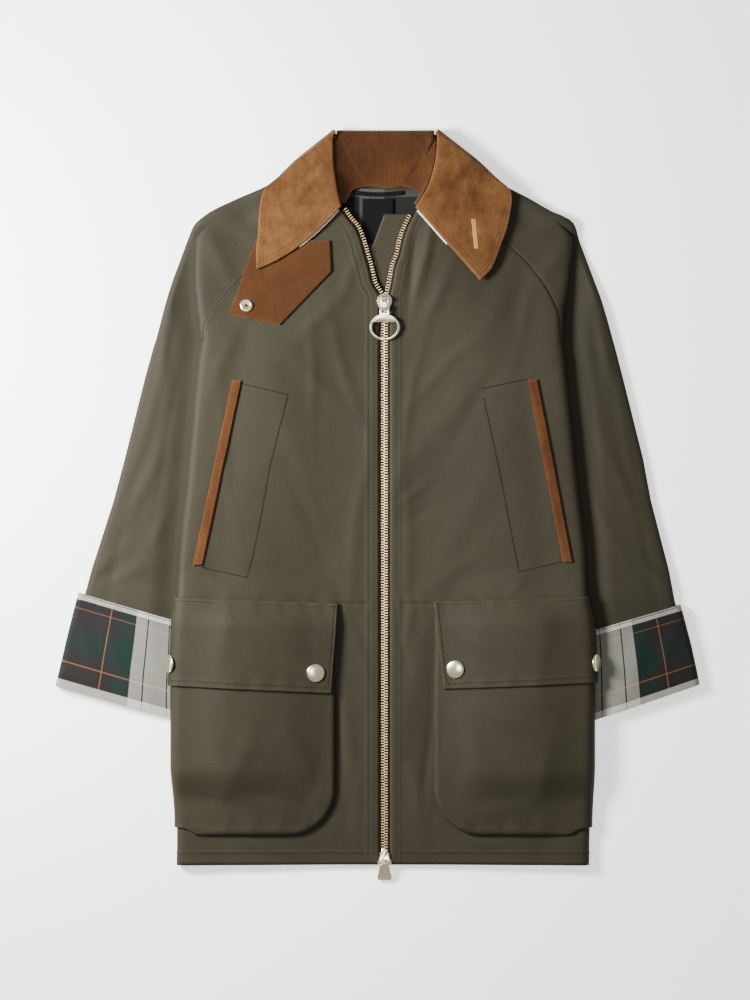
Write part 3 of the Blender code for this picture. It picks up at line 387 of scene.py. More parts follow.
CUFF_WARP = (
    (0.000, 0.026, CHARCOAL), (0.026, 0.041, GREEN), (0.041, 0.088, CREAM), (0.052, 0.0535, LINE),
    (0.0745, 0.076, LINE), (0.088, 0.104, GREEN), (0.104, 0.126, CHARCOAL),
    (0.1140, 0.1153, ORANGE),
)
CUFF_WEFT = (
    (0.000, 0.013, PALE_CREAM), (0.013, 0.036, CHARCOAL), (0.036, 0.054, GREEN),
    (0.054, 0.078, CHARCOAL), (0.0290, 0.0302, ORANGE), (0.0658, 0.0668, ORANGE),
    (0.078, 0.092, PALE_CREAM),
)
CHECK = woven_check("cuff_check", CUFF_WARP, 0.126, CUFF_WEFT, 0.092, CHARCOAL)
LINING_WARP = (
    (0.0, 0.026, CHARCOAL), (0.026, 0.046, GREEN), (0.046, 0.070, GREY), (0.056, 0.0572, LINE)
)
LINING_WEFT = ((0.0, 0.034, CHARCOAL), (0.034, 0.060, GREY), (0.046, 0.0475, LINE))
LINING = woven_check("neck_check", LINING_WARP, 0.070, LINING_WEFT, 0.060, CHARCOAL, 0.75)
print("check finishes made")


# %% Plain cloths, tape, thread and metal
def plain_cloth(name, dark, pale, roughness=0.85, grain=900.0):
    look = Finish(name, roughness, gloss=0.15)
    tone = (look.noise(grain, 2.0) * 0.8 + look.noise(40.0, 3.0) * 0.5 - 0.15).clamped()
    look.set("Base Color", look.mix(tone, dark, pale))
    look.bump(look.noise(grain, 2.0), 0.00012)
    return look.material


def metal(name, dark, pale, roughness):
    look = Finish(name, roughness, metallic=1.0)
    wear = look.noise(160.0, 4.0, 0.6)
    look.set("Base Color", look.mix(wear, dark, pale))
    look.set("Roughness", roughness - 0.08 + wear * 0.16)
    look.bump(look.noise(420.0, 3.0), 0.00003)
    return look.material


PALE_COTTON = plain_cloth("undercollar_cotton", (0.46, 0.43, 0.37), (0.66, 0.63, 0.56))
DARK_CLOTH = plain_cloth("dark_label", (0.0004, 0.0007, 0.0006), (0.0014, 0.0018, 0.0016), 0.9)
TAPE = plain_cloth("zip_tape", (0.026, 0.022, 0.013), (0.046, 0.039, 0.023), 0.85, 1400.0)
THREAD = plain_cloth("olive_thread", (0.0048, 0.0044, 0.0025), (0.0100, 0.0090, 0.0052), 0.7)
THREAD_BROWN = plain_cloth("brown_thread", (0.040, 0.014, 0.004), (0.085, 0.034, 0.010), 0.7)
THREAD_DARK = plain_cloth("dark_thread", (0.009, 0.0085, 0.008), (0.020, 0.019, 0.018), 0.7)
THREAD_GOLD = plain_cloth("gold_thread", (0.34, 0.17, 0.035), (0.54, 0.31, 0.085), 0.55)
BRASS = metal("pale_brass", (0.84, 0.75, 0.50), (0.97, 0.91, 0.69), 0.22)
TEETH_BRASS = metal("teeth_brass", (0.54, 0.37, 0.18), (0.86, 0.68, 0.40), 0.30)
print("plain finishes made")

# %% [markdown]
# ## The shape of the cloth
# Every layer is measured from one surface, the outer cloth of the fronts. Its height over any point
# is one formula of the distance from the zip and the height above the hem. Layers above and below
# it are moved out along its normal, which keeps them parallel however the cloth is creased.

# %% Sizes and outline tables
WALL, PITCH, SEAM = 1.5, 1.9, 0.12
FLOOR = WALL / 2
UNDERARM, NECK_SEAM = 498.0, 643.0
WING, SIDE_BEND, SIDE_BEND_LENGTH = 75.0, 7.0, 20.0
WING_FLAT = WING - 2 * SIDE_BEND
MIDDLE, SIDE_LOFT, SIDE_PUFF, NECK_RISE = 4.75, 2.2, 2.5, 6.2
FOLD = (
    (0, 196, 193), (45, 196, 194), (100, 199, 195.5), (176, 199, 195.5), (214, 197, 194.5),
    (252, 196, 191.5), (290, 194, 190), (366, 186, 182), (442, 179, 174), (480, 175, 170),
    (498, 173, 168), (518, 176, 169), (556, 179, 174), (607, 176, 177), (620, 163, 157),
    (632, 139, 137), (642, 115, 117), (651, 99, 101), (660, 86, 87), (672, 70, 71), (680, 60, 60),
)
OUTER = (
    (258, 285, 274), (271, 280, 271), (309, 268, 262), (347, 256, 252), (385, 246, 245),
    (423, 237, 235), (461, 227, 226), (499, 216, 216), (537, 206, 205), (556, 200, 198),
    (575, 193, 191), (594, 186, 184), (607, 180, 180), (613, 174, 174), (620, 164, 158),
    (632, 139, 137), (642, 115, 117), (651, 99, 101), (660, 86, 87), (672, 70, 71), (680, 60, 60),
)
RAGLAN = (
    (498, 172.6, 167.6), (511, 171, 165.5), (521, 166, 165), (532, 158, 161), (545, 147, 155),
    (557, 136, 147), (573, 122, 134), (594, 104, 111), (615, 85, 86), (635, 66, 64), (651, 50, 50),
    (680, 50, 50),
)
FRONT_EDGE = (
    (0, 5.3, 5.3), (538, 5.3, 5.3), (551, 12, 8), (568, 16, 11), (578, 19, 15), (592, 23, 18),
    (604, 28, 22), (612, 35, 26), (618, 39, 29), (623, 43.5, 33), (651, 49, 49),
)
STACK = ((0, 0.0), (62, 0.0), (94, 8.2), (249, 8.2), (280, 4.3), (700, 4.3))
INNER = ((129, 158), (214, 139), (366, 108), (498, 75))
print("outline rows", len(FOLD), len(OUTER), len(RAGLAN))

# %% [markdown]
# Creases are soft ridges and troughs, each with its own place, lean, length, width and height. No
# two are alike, because cloth that has been worn and laid down never folds evenly.

# %% Creases
CREASES = (
    # side, s, y, lean from upright in degrees, half length, half width, height
    ("left", 90, 400, 12, 90, 16, 0.9), ("left", 55, 210, -10, 80, 14, 0.8),
    ("left", 120, 545, -38, 45, 10, 0.8), ("right", 40, 400, 35, 80, 13, 1.1),
    ("right", 78, 330, 22, 95, 14, 0.9), ("right", 100, 520, 30, 50, 11, 0.8),
    ("right", 30, 190, 12, 90, 12, 0.9), ("left", 36, 470, 16, 60, 6, 0.9),
    ("left", 24, 330, -6, 85, 6, 0.8), ("left", 60, 455, 40, 40, 7, 0.8),
    ("left", 75, 340, 24, 60, 8, -0.7), ("left", 150, 480, -20, 46, 7, 0.9),
    ("left", 34, 110, 4, 60, 6, 0.8), ("left", 60, 520, -52, 34, 6, 1.0),
    ("left", 30, 560, -20, 26, 5, 0.9), ("left", 110, 290, 64, 40, 6, 0.6),
    ("left", 120, 18, 78, 50, 5, 0.5), ("left", 40, 250, 30, 40, 7, -0.6),
    ("left", 150, 395, 8, 60, 5, 0.5), ("right", 36, 578, 12, 36, 5, 2.1),
    ("right", 25, 560, 10, 40, 4, -1.5), ("right", 48, 540, 22, 34, 6, 1.1),
    ("right", 58, 470, 44, 46, 6, 0.9), ("right", 26, 440, 12, 70, 5, 0.8),
    ("right", 90, 440, 30, 52, 7, -0.7), ("right", 130, 520, 10, 36, 6, 0.8),
    ("right", 22, 290, -4, 90, 5, 0.7), ("right", 66, 280, 48, 34, 6, 0.7),
    ("right", 150, 400, -8, 58, 5, 0.6), ("right", 30, 60, -8, 44, 6, 0.8),
    ("right", 90, 18, 80, 46, 5, 0.5), ("right", 110, 270, 70, 36, 6, 0.6),
    ("left", 158, 575, 30, 40, 7, 1.0), ("left", 140, 605, 58, 34, 6, 0.9),
    ("left", 120, 600, 50, 30, 5, -0.6), ("right", 28, 352, 45, 22, 4, 0.8),
    ("right", 30, 335, 60, 18, 4, -0.6), ("right", 27, 232, 14, 30, 3.5, 0.7),
    ("right", 20, 205, -10, 24, 3.5, -0.5), ("right", 41, 108, 2, 66, 3.4, -1.0),
    ("left", 41, 112, -3, 62, 3.4, -0.8), ("right", 124, 268, 40, 12, 4, 0.6),
    ("left", 166, 272, 40, 12, 4, 0.7), ("left", 176, 280, -30, 10, 4, 0.5),
    ("left", 150, 268, 60, 14, 4, 0.5), ("left", 70, 468, 4, 44, 5, 0.8),
    ("left", 22, 200, 12, 30, 4, 0.6), ("left", 30, 60, -6, 40, 4, -0.5),
    ("right", 160, 570, 34, 40, 7, 1.0), ("right", 142, 602, 60, 34, 6, 0.9),
    ("right", 126, 590, 46, 30, 5, -0.6),
)
# Creases of the sleeves below the underarm, in the same columns.
SLEEVE_CREASES = (
    ("left", 222, 440, -15, 90, 6, 0.9), ("left", 205, 400, -12, 70, 5, -0.8),
    ("left", 232, 350, -22, 60, 7, 1.1), ("left", 215, 320, -30, 40, 6, 0.8),
    ("left", 250, 300, -14, 50, 6, -0.9), ("left", 210, 480, -4, 40, 6, 0.9),
    ("left", 262, 285, -52, 26, 5, 1.0), ("left", 232, 280, -62, 30, 5, 0.9),
    ("left", 204, 540, -8, 40, 5, 0.9), ("right", 218, 450, -14, 85, 6, 0.9),
    ("right", 198, 410, -10, 74, 5, -0.8), ("right", 226, 360, -20, 62, 7, 1.1),
    ("right", 208, 330, -26, 44, 6, 0.9), ("right", 244, 310, -12, 52, 5, -0.8),
    ("right", 206, 490, -6, 42, 6, 0.8), ("right", 254, 280, -48, 28, 5, 1.0),
    ("right", 226, 290, -66, 30, 5, 0.8), ("right", 202, 545, -6, 40, 5, 0.9),
)


def creased(table, side, s, y):
    """Sum of a table's creases over points of one side, in millimetres."""
    total = np.zeros(np.broadcast(s, y).shape)
    for name, at_s, at_y, lean, half_length, half_width, height in table:
        if name != side:
            continue
        angle = math.radians(lean)
        along = (s - at_s) * math.sin(angle) + (y - at_y) * math.cos(angle)
        across = (s - at_s) * math.cos(angle) - (y - at_y) * math.sin(angle)
        across = across + 3.0 * np.sin(along / 31.0 + at_s)
        total = total + height * np.exp(-((along / half_length) ** 2) - (across / half_width) ** 2)
    return total


print("creases", len(CREASES), "and", len(SLEEVE_CREASES))


# %% Smooth curves
def curve(table, column, at):
    """A smooth line through a table's rows that never overshoots them."""
    rows = np.array(table, float)
    y, v = rows[:, 0], rows[:, column]
    step = np.diff(y)
    slope = np.diff(v) / step
    tangent = np.concatenate([[slope[0]], np.zeros(len(y) - 2), [slope[-1]]])
    for i in range(1, len(y) - 1):
        if slope[i - 1] * slope[i] > 0:
            tangent[i] = 2 * slope[i - 1] * slope[i] / (slope[i - 1] + slope[i])
    at = np.clip(np.asarray(at, float), y[0], y[-1])
    k = np.clip(np.searchsorted(y, at) - 1, 0, len(step) - 1)
    t = (at - y[k]) / step[k]
    return (
        (2 * t**3 - 3 * t**2 + 1) * v[k] + (t**3 - 2 * t**2 + t) * step[k] * tangent[k]
        + (3 * t**2 - 2 * t**3) * v[k + 1] + (t**3 - t**2) * step[k] * tangent[k + 1]
    )


def smooth(t):
    """0 below 0 and 1 above 1, with a soft start and end between."""
    t = np.clip(t, 0.0, 1.0)
    return t * t * (3 - 2 * t)


def half_turn(high, low, turn):
    """Height on the round of a fold, from high at turn 0 to low at half a turn."""
    return (high + low) / 2 + (high - low) / 2 * np.cos(turn)


def back_rise(s, y):
    """Lift over the back fall of the collar, which lies under the neck."""
    return PITCH * smooth((y - 598) / 18) * (1 - smooth((s - 112) / 25))


PLACKET = {"left": 11.6, "right": 9.0}  # stitched-down widths at the zip
HEM, TURNED = 14.0, 0.26  # stitched-down hem, and the height of a turned edge


# %% One side of the jacket
class Side:
    """One half of the jacket: s runs outward from the zip and y up from the hem."""

    def __init__(self, name, sign, column):
        self.name, self.sign, self.column = name, sign, column

    def fold(self, y):
        return curve(FOLD, self.column, y)

    def outer(self, y):
        return curve(OUTER, self.column, y)

    def raglan(self, y):
        return curve(RAGLAN, self.column, y)

    def edge(self, y):
        return curve(FRONT_EDGE, self.column, y)

    def inner(self, y):
        return curve(INNER, 1, y)

    def floor_edge(self, y):
        return self.fold(y) - np.maximum(113, self.fold(y) - self.inner(y) + 32)

    def back_seam(self, y):
        up = np.clip((y - UNDERARM) / 157.0, 0, 1)
        return self.floor_edge(UNDERARM) * (1 - up) + 48.5 * up

    def base(self, s, y):
        return curve(STACK, 1, y) + 0 * s

    def back_base(self, s, y):
        drop = np.minimum(self.inner(y) - 6, self.fold(y) - WING - 1)
        return curve(STACK, 1, y) * (1 - smooth((drop - s) / 25))

    def top(self, s, y):
        """Height of the outer cloth over the whole front and shoulder."""
        depth = self.fold(y) - s
        layers = 1 + 2 * (1 - smooth((y - UNDERARM) / 70))
        reach = np.maximum(156, self.fold(y) - self.inner(y) + 52)
        crest = curve(STACK, 1, y) * (
            1 - 0.6 * smooth((y - 520) / 90)
        ) + FLOOR + layers * PITCH + SIDE_LOFT
        body = MIDDLE + (crest - MIDDLE) * smooth((reach - depth) / (reach - 45))
        puff = SIDE_PUFF * smooth((45 - depth) / 38)
        neck = NECK_RISE * smooth((y - 470) / 80) * (1 - smooth((s - 50) / 80)) * (
            1 - 0.5 * smooth((y - 625) / 40)
        )
        return body + puff + neck + back_rise(s, y) + creased(CREASES, self.name, s, y)

    def shell(self, s, y):
        """Outer cloth: across the top, round the side fold, and back beneath it."""
        s, y = np.broadcast_arrays(np.asarray(s, float), np.asarray(y, float))
        start = self.fold(y) - SIDE_BEND
        turn = np.clip((s - start) / SIDE_BEND_LENGTH, 0, 1) * math.pi
        past = np.maximum(s - start - SIDE_BEND_LENGTH, 0)
        x = np.where(s <= start, s, start + SIDE_BEND * np.sin(turn) - past)
        high = self.top(start, y)
        low = self.base(start - past, y) + FLOOR
        z = np.where(s <= start, self.top(s, y), half_turn(high, low, turn))
        return np.stack([self.sign * x, y, z], axis=-1)

    def lifted(self, s, y, out):
        """Points moved out from the outer cloth along its normal."""
        s, y, out = np.broadcast_arrays(
            np.asarray(s, float), np.asarray(y, float), np.asarray(out, float)
        )
        along = self.shell(s + 0.5, y) - self.shell(s - 0.5, y)
        up = self.shell(s, y + 0.5) - self.shell(s, y - 0.5)
        normal = np.cross(along, up) * self.sign
        normal /= np.linalg.norm(normal, axis=-1, keepdims=True)
        return self.shell(s, y) + normal * out[..., None]


LEFT, RIGHT = Side("left", -1, 1), Side("right", 1, 2)
SIDES = (LEFT, RIGHT)
print("sides", [side.name for side in SIDES])

# %% [markdown]
# ## From a grid of points to cloth
# A panel starts as an open grid on the cloth's middle surface. Solidify gives it a wall, half to
# each side, so the panel keeps its place between its neighbours. The grid also lays down the map
# that the finishes read, and the attribute that marks the panel's edges.


# %% Cloth from a grid
def lengths(grid, axis):
    """Length along the cloth from its first row or column to each point, in millimetres."""
    steps = np.linalg.norm(np.diff(grid, axis=axis), axis=-1)
    first = np.zeros_like(np.take(steps, [0], axis=axis))
    return np.concatenate([first, np.cumsum(steps, axis=axis)], axis=axis)


def edge_distance(grid, loop):
    """Distance of each point from the panel's border, along the cloth, in millimetres."""
    down = lengths(grid, 0)
    distance = np.minimum(down, down[-1] - down)
    if not loop:
        over = lengths(grid, 1)
        distance = np.minimum(distance, np.minimum(over, over[:, -1:] - over))
    return distance


WEAR_WIDTH = 5.0


def cloth(name, grid, chart, finish, kept=None, wall=WALL, loop=False):
    """A panel from rows and columns of points in millimetres, mapped by chart in metres."""
    rows, columns = grid.shape[:2]
    index = np.arange(rows * columns).reshape(rows, columns)
    a, b = index[:-1], index[1:]
    quads = np.stack([a, np.roll(a, -1, axis=1), np.roll(b, -1, axis=1), b], axis=-1)
    if not loop:
        quads = quads[:, :-1]
    mask = np.ones(quads.shape[:2], bool) if kept is None else np.asarray(kept, bool)
    quads = quads[mask]
    used, packed = np.unique(quads, return_inverse=True)
    quads = packed.reshape(quads.shape)
    mesh = bpy.data.meshes.new(name)
    mesh.from_pydata(metres(grid.reshape(-1, 3)[used]).tolist(), [], quads.tolist())
    corner = np.empty(len(mesh.loops), np.int32)
    mesh.loops.foreach_get("vertex_index", corner)
    layer = mesh.uv_layers.new(name="cloth")
    layer.data.foreach_set("uv", chart.reshape(-1, 2)[used][corner].astype(np.float32).ravel())
    worn = mesh.attributes.new("edge", "FLOAT", "POINT")
    distance = edge_distance(grid, loop).reshape(-1)[used]
    worn.data.foreach_set("value", (1 - smooth(distance / WEAR_WIDTH)).astype(np.float32))
    mend(mesh, normals=True)
    mesh.materials.append(finish)
    mesh.shade_smooth()
    obj = added(name, mesh)
    solid = obj.modifiers.new("wall", "SOLIDIFY")
    solid.thickness = wall * MM
    solid.offset = 0.0
    obj.data = settled(obj)
    obj.data.name = name
    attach(obj, BODY)
    return obj


def half_area(obj):
    """Area of one face of a closed panel, in square metres."""
    return sum(face.area for face in obj.data.polygons) / 2


def cut(obj, node, width, length):
    """Hides the plain solid under a panel and prints the panel's area beside its flat size.

    The area is taken from the panel's own mesh and held to width times length. The table check
    compares it with that mesh, so an area share near 1 doesn't show that the flat size is right.
    """
    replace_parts(obj, node)
    print(f"{obj.name}: {half_area(obj):.4f} m2 of {width} x {length} m")


def blend(a, b, count):
    """Evenly spaced values from a to b, along a new last axis."""
    t = np.linspace(0.0, 1.0, count)
    return np.asarray(a, float)[..., None] * (1 - t) + np.asarray(b, float)[..., None] * t


def arc_chart(grid):
    """A map whose two directions are lengths along the cloth."""
    return np.stack([lengths(grid, 1), lengths(grid, 0)], axis=-1) * MM


# %% [markdown]
# ## Fronts
# Each front runs from the zip across to the side, folds under there, and ends at the side seam
# beneath. The edge by the zip and the hem are turned and stitched down, so both stand a little
# proud, and the rows and columns are closer together there to draw that step cleanly.


# %% Fronts
def rows_between(low, high, step, extra=()):
    """Evenly spaced values with some exact ones added."""
    values = np.concatenate([np.linspace(low, high, int((high - low) / step) + 1), extra])
    return np.unique(np.round(values[(values >= low) & (values <= high)], 2))


HEM_ROWS = (HEM - 0.8, HEM, HEM + 0.8, HEM + 1.8)
WAIST = 248.0  # the seam level with the top of the flaps
WAIST_ROWS = WAIST + np.array([-2.2, -1.1, -0.4, 0.4, 1.1, 2.2])
BODY_ROWS = rows_between(1.0, UNDERARM - 0.05, 3.6, (*HEM_ROWS, *WAIST_ROWS))
SHOULDER_ROWS = rows_between(UNDERARM + 0.05, 648, 3.5)


def turned_edge(from_edge, width):
    """Height of a stitched-down edge: full up to its width, with a dip at the stitch line."""
    return TURNED * (1 - smooth((from_edge - width) / 1.2)) - 0.22 * np.exp(
        -(((from_edge - width + 2.0) / 1.1) ** 2)
    )


# Puckers of the waist seam: place along it, half width, height.
WAIST_PUCKERS = (
    (13, 2.2, 0.30), (19, 2.6, -0.26), (25, 2.0, 0.34), (29, 2.4, -0.20), (36, 3.0, 0.42),
    (42, 2.4, -0.30), (54, 3.0, 0.36), (63, 3.6, -0.3), (74, 3.0, 0.44), (83, 4.0, -0.34),
    (97, 3.4, 0.5), (110, 4.2, -0.3), (121, 3.4, 0.42), (137, 4.6, -0.36), (150, 3.6, 0.46),
    (166, 4.0, -0.3),
)


def puckered(table, along, from_seam, reach):
    """Short uneven gathers across a seam, which die out within the reach."""
    total = 0.0 * along + 0.0 * from_seam
    for at, half_width, height in table:
        lean = along + 0.25 * from_seam * math.copysign(1.0, height)
        total = total + height * np.exp(-(((lean - at) / half_width) ** 2))
    return total * np.exp(-((from_seam / reach) ** 2))


def waist(s, y):
    """The waist seam across a front, with its gathers."""
    groove = -0.20 * np.exp(-(((y - WAIST) / 0.9) ** 2))
    return (groove + puckered(WAIST_PUCKERS, s, y - WAIST, 9.0)) * smooth((s - 7) / 6)


def front(side):
    y = np.concatenate([BODY_ROWS, SHOULDER_ROWS])
    start = side.fold(y) - SIDE_BEND
    below = y < UNDERARM
    inner = side.edge(y)
    over_fold = start + 5.0 * smooth((y - 460) / 38)
    outer = np.where(below, over_fold, np.minimum(side.raglan(y) - SEAM, start + 5.0))
    width = PLACKET[side.name]
    steps = np.array(
        [0, 2.5, 4.4, width - 3.0, width - 2.0, width - 1.0, width, width + 0.6, width + 1.4]
    )
    placket = inner[:, None] + np.minimum(steps, 0.5 * (outer - inner)[:, None] * steps / steps[-1])
    across = blend(placket[:, -1], outer, 60)[:, 1:]
    bend = over_fold[:, None] + (start + SIDE_BEND_LENGTH - over_fold)[:, None] * np.linspace(
        0, 1, 15
    )[1:]
    under = start[:, None] + SIDE_BEND_LENGTH + np.linspace(0, WING_FLAT, 12)[1:]
    s = np.concatenate([placket, across, bend, under], axis=1)
    wide = y[:, None] + 0 * s
    out = turned_edge(s - inner[:, None], width) + turned_edge(wide, HEM) + waist(s, wide)
    grid = side.lifted(s, wide, out)
    top_columns = placket.shape[1] + across.shape[1] - 1
    kept = (np.arange(s.shape[1] - 1)[None, :] < top_columns) | (y[1:] < UNDERARM)[:, None]
    chart = np.stack([side.sign * s, wide], axis=-1) * MM
    obj = cloth("front_panel_" + side.name, grid, chart, OLIVE, kept)
    cut(obj, "front_" + side.name, 0.285, 0.650)


for half in SIDES:
    front(half)


# %% [markdown]
# ## Back
# The back lies on the floor. Its two wings are folded inside the fronts' wings, up to the side
# seams. Only its edges can be glimpsed, but it holds everything up, so it is made as carefully.


# %% Back
def back_half(side, y, floor_edge):
    """Columns from the floor's edge outward, round the inner fold, to the side seam."""
    fold_s = side.fold(y) - SIDE_BEND
    up = fold_s[:, None] - np.linspace(WING_FLAT, 0, 10)
    ramp = blend(floor_edge, up[:, 0], 16)[:, 1:-1]
    turn = np.linspace(0, math.pi, 9)[1:]
    bend_s = fold_s[:, None] + 1.5 * np.sin(turn)
    down = fold_s[:, None] - np.linspace(0, WING_FLAT, 10)[1:]
    y = y[:, None]
    climbing = np.concatenate([ramp, up], axis=1)
    depth = side.fold(y) - climbing
    climb_z = side.back_base(climbing, y) + FLOOR + 2 * PITCH * (
        1 - smooth((depth - WING - 1) / 35)
    )
    bend_z = side.base(bend_s, y) + FLOOR + PITCH * (1.5 + 0.5 * np.cos(turn))
    down_z = side.base(down, y) + FLOOR + PITCH
    s = np.concatenate([climbing, bend_s, down], axis=1)
    return side.sign * s, np.concatenate([climb_z, bend_z, down_z], axis=1)


MIDDLE_COLUMNS = 31


def back():
    y = rows_between(1.0, UNDERARM - SEAM, 6.0, HEM_ROWS)
    edges = [side.floor_edge(y) for side in SIDES]
    left_x, left_z = back_half(LEFT, y, edges[0])
    right_x, right_z = back_half(RIGHT, y, edges[1])
    middle = blend(-edges[0], edges[1], MIDDLE_COLUMNS)
    x = np.concatenate([left_x[:, ::-1], middle, right_x], axis=1)
    z = np.concatenate([left_z[:, ::-1], np.full(middle.shape, FLOOR), right_z], axis=1)
    body = np.stack([x, y[:, None] + 0 * x, z], axis=-1)
    side_columns = left_x.shape[1]
    share = np.linspace(-1.0, 1.0, MIDDLE_COLUMNS)
    yoke = []
    for up in np.linspace(0.0, 1.0, 34)[1:]:
        at = UNDERARM - SEAM + up * (NECK_SEAM + 10.0 * share**2 - UNDERARM)
        seam = np.where(share < 0, LEFT.back_seam(at), RIGHT.back_seam(at)) - SEAM
        row = body[-1].copy()
        row[side_columns:side_columns + MIDDLE_COLUMNS] = np.stack(
            [share * seam, at, FLOOR + back_rise(np.abs(share * seam), at)], axis=-1
        )
        yoke.append(row)
    grid = np.concatenate([body, np.array(yoke)])
    kept = np.ones((len(grid) - 1, grid.shape[1] - 1), bool)
    kept[len(y) - 1:, :side_columns] = False
    kept[len(y) - 1:, side_columns + MIDDLE_COLUMNS - 1:] = False
    chart = grid[..., :2] * MM
    obj = cloth("back_panel", grid, chart, OLIVE, kept)
    cut(obj, "back", 0.545, 0.655)


back()

# %% [markdown]
# ## Sleeves
# A raglan sleeve runs up to the neck, with a slanted seam across the chest. Laid flat, its spare
# cloth tucks in beneath the side of the body, and below the underarm it is a flattened tube. The
# rows are level at the shoulder and lean along the arm further down.

# %% Sleeve sizes
TUCK_END, ARM_BEND, CUFF_ROW = 612.0, 5.0, 6
ARM = {
    # outer y, outer reach, inner y, inner reach
    "left": (
        (498, 216.3, 498, 76), (490, 219, 488, 78), (461, 227, 452, 86), (385, 246, 360, 112),
        (347, 256, 315, 122), (281, 277, 242, 138), (262, 282, 222, 143), (246, 287, 205, 148),
        (215, 296, 172, 156), (172.5, 307.5, 131, 164),
    ),
    "right": (
        (498, 216.3, 498, 76), (490, 218.5, 488, 78), (461, 226, 452, 86), (385, 245, 360, 112),
        (347, 252, 315, 122), (281, 269, 240, 138), (251, 274.5, 213, 143),
        (236, 278.5, 196.5, 148), (206, 286, 166, 156), (174, 294.5, 128, 164),
    ),
}
TUBE_IN, TUBE_OUT, TUBE_BEND, TUBE_BACK = 16, 30, 12, 30  # columns across the flat tube


# %% Sleeve rows
def arm_shown(side, s, y):
    """0 under the body, 1 where the arm lies clear of it, and the arm's plain height there."""
    shown = smooth((s - side.fold(y) - 5) / 22)
    return shown, FLOOR + PITCH + 0.1 + 3.2 * shown


def lower_sleeve(side, s, y):
    """Height of the sleeve's front half where it comes out from under the body."""
    shown, height = arm_shown(side, s, y)
    return height + creased(SLEEVE_CREASES, side.name, s, y) * shown


def leaning(table, at):
    """Outer y and reach, then inner y and reach, at a row or between two rows of an arm's table."""
    table = np.array(table)
    return tuple(float(np.interp(at, range(len(table)), table[:, c])) for c in range(4))


def sleeve_row(side, y):
    """One level row above the underarm: top, fold, tuck, fold, lower front, outer bend, back."""
    fold, outer = float(side.fold(y)), float(side.outer(y))
    seam = float(side.raglan(y)) + SEAM if y < 652 else float(side.raglan(y))
    start = fold - SIDE_BEND
    seam = min(seam, start + 5.5)
    first = max(start, seam + 1.5)
    s = np.concatenate(
        [np.linspace(seam, first, 24), np.linspace(first, start + SIDE_BEND_LENGTH, 12)[1:]]
    )
    top = side.shell(s, y)
    top_x, top_z = np.abs(top[:, 0]), top[:, 2]
    rise = float(back_rise(outer - ARM_BEND, y))
    depth = max(9.0, 0.9 * (607 - y))
    tuck_z = top_z[-1]
    low_z = float(lower_sleeve(side, fold - depth, y)) + rise
    tuck_x = np.linspace(start, fold - depth, 9)[1:]
    turn = np.linspace(0, math.pi, 9)[1:]
    inner_x = fold - depth - 2.5 * np.sin(turn)
    inner_z = half_turn(tuck_z, low_z, turn)
    edge = min(fold + 5, outer - ARM_BEND - 2)
    out_x = np.concatenate([
        np.linspace(fold - depth, edge, TUBE_IN)[1:],
        np.linspace(edge, outer - ARM_BEND, TUBE_OUT)[1:]
    ])
    out_z = lower_sleeve(side, out_x, y) + rise
    folded_x = np.concatenate([top_x, tuck_x, inner_x, out_x])
    folded_z = np.concatenate([top_z, np.full(8, tuck_z), inner_z, out_z])
    share = np.concatenate(
        [np.linspace(0, 0.85, 24), np.linspace(0.85, 1.0, len(folded_x) - 23)[1:]]
    )
    plain_x = seam + (outer - ARM_BEND - seam) * share
    plain_z = side.top(plain_x, y)
    open_share = smooth((y - (TUCK_END - 20)) / 20)
    x = folded_x + (plain_x - folded_x) * open_share
    z = folded_z + (plain_z - folded_z) * open_share
    floor_z = FLOOR + rise
    around = np.linspace(0, math.pi, TUBE_BEND)[1:]
    bend_x = x[-1] + ARM_BEND * np.sin(around)
    bend_z = half_turn(z[-1], floor_z, around)
    back_x = np.linspace(x[-1], float(side.back_seam(y)) + SEAM, TUBE_BACK)[1:]
    back_z = FLOOR + back_rise(back_x, y)
    x = np.concatenate([x, bend_x, back_x])
    z = np.concatenate([z, bend_z, back_z])
    return np.stack([side.sign * x, np.full(len(x), y), z], axis=-1)


def arm_heights(side, s, y, row, top):
    lift = PITCH * smooth((row - CUFF_ROW + 1.6) / 1.4)
    if not top:
        return FLOOR + lift + 0.0 * s
    return lower_sleeve(side, s, y) + lift


def arm_row(side, row):
    """One leaning row below the underarm; row may lie between two rows of the table."""
    outer_y, outer_s, inner_y, inner_s = leaning(ARM[side.name], row)
    edge = float(side.fold((outer_y + inner_y) / 2)) + 5
    front_s = np.concatenate([
        np.linspace(inner_s, edge, TUBE_IN), np.linspace(edge, outer_s - ARM_BEND, TUBE_OUT)[1:]
    ])
    front_y = inner_y + (outer_y - inner_y) * (front_s - inner_s) / (outer_s - inner_s)
    front_z = arm_heights(side, front_s, front_y, row, True)
    around = np.linspace(0, math.pi, TUBE_BEND)[1:]
    low = float(arm_heights(side, front_s[-1], outer_y, row, False))
    bend_s = front_s[-1] + ARM_BEND * np.sin(around)
    bend_z = half_turn(front_z[-1], low, around)
    back_s = np.linspace(front_s[-1], inner_s, TUBE_BACK)[1:]
    s = np.concatenate([front_s, bend_s, back_s])
    y = inner_y + (outer_y - inner_y) * (s - inner_s) / (outer_s - inner_s)
    z = np.concatenate([front_z, bend_z, np.full(len(back_s), low)])
    return np.stack([side.sign * s, y, z], axis=-1)


print("sleeve columns", TUBE_IN + TUBE_OUT + TUBE_BEND + TUBE_BACK)


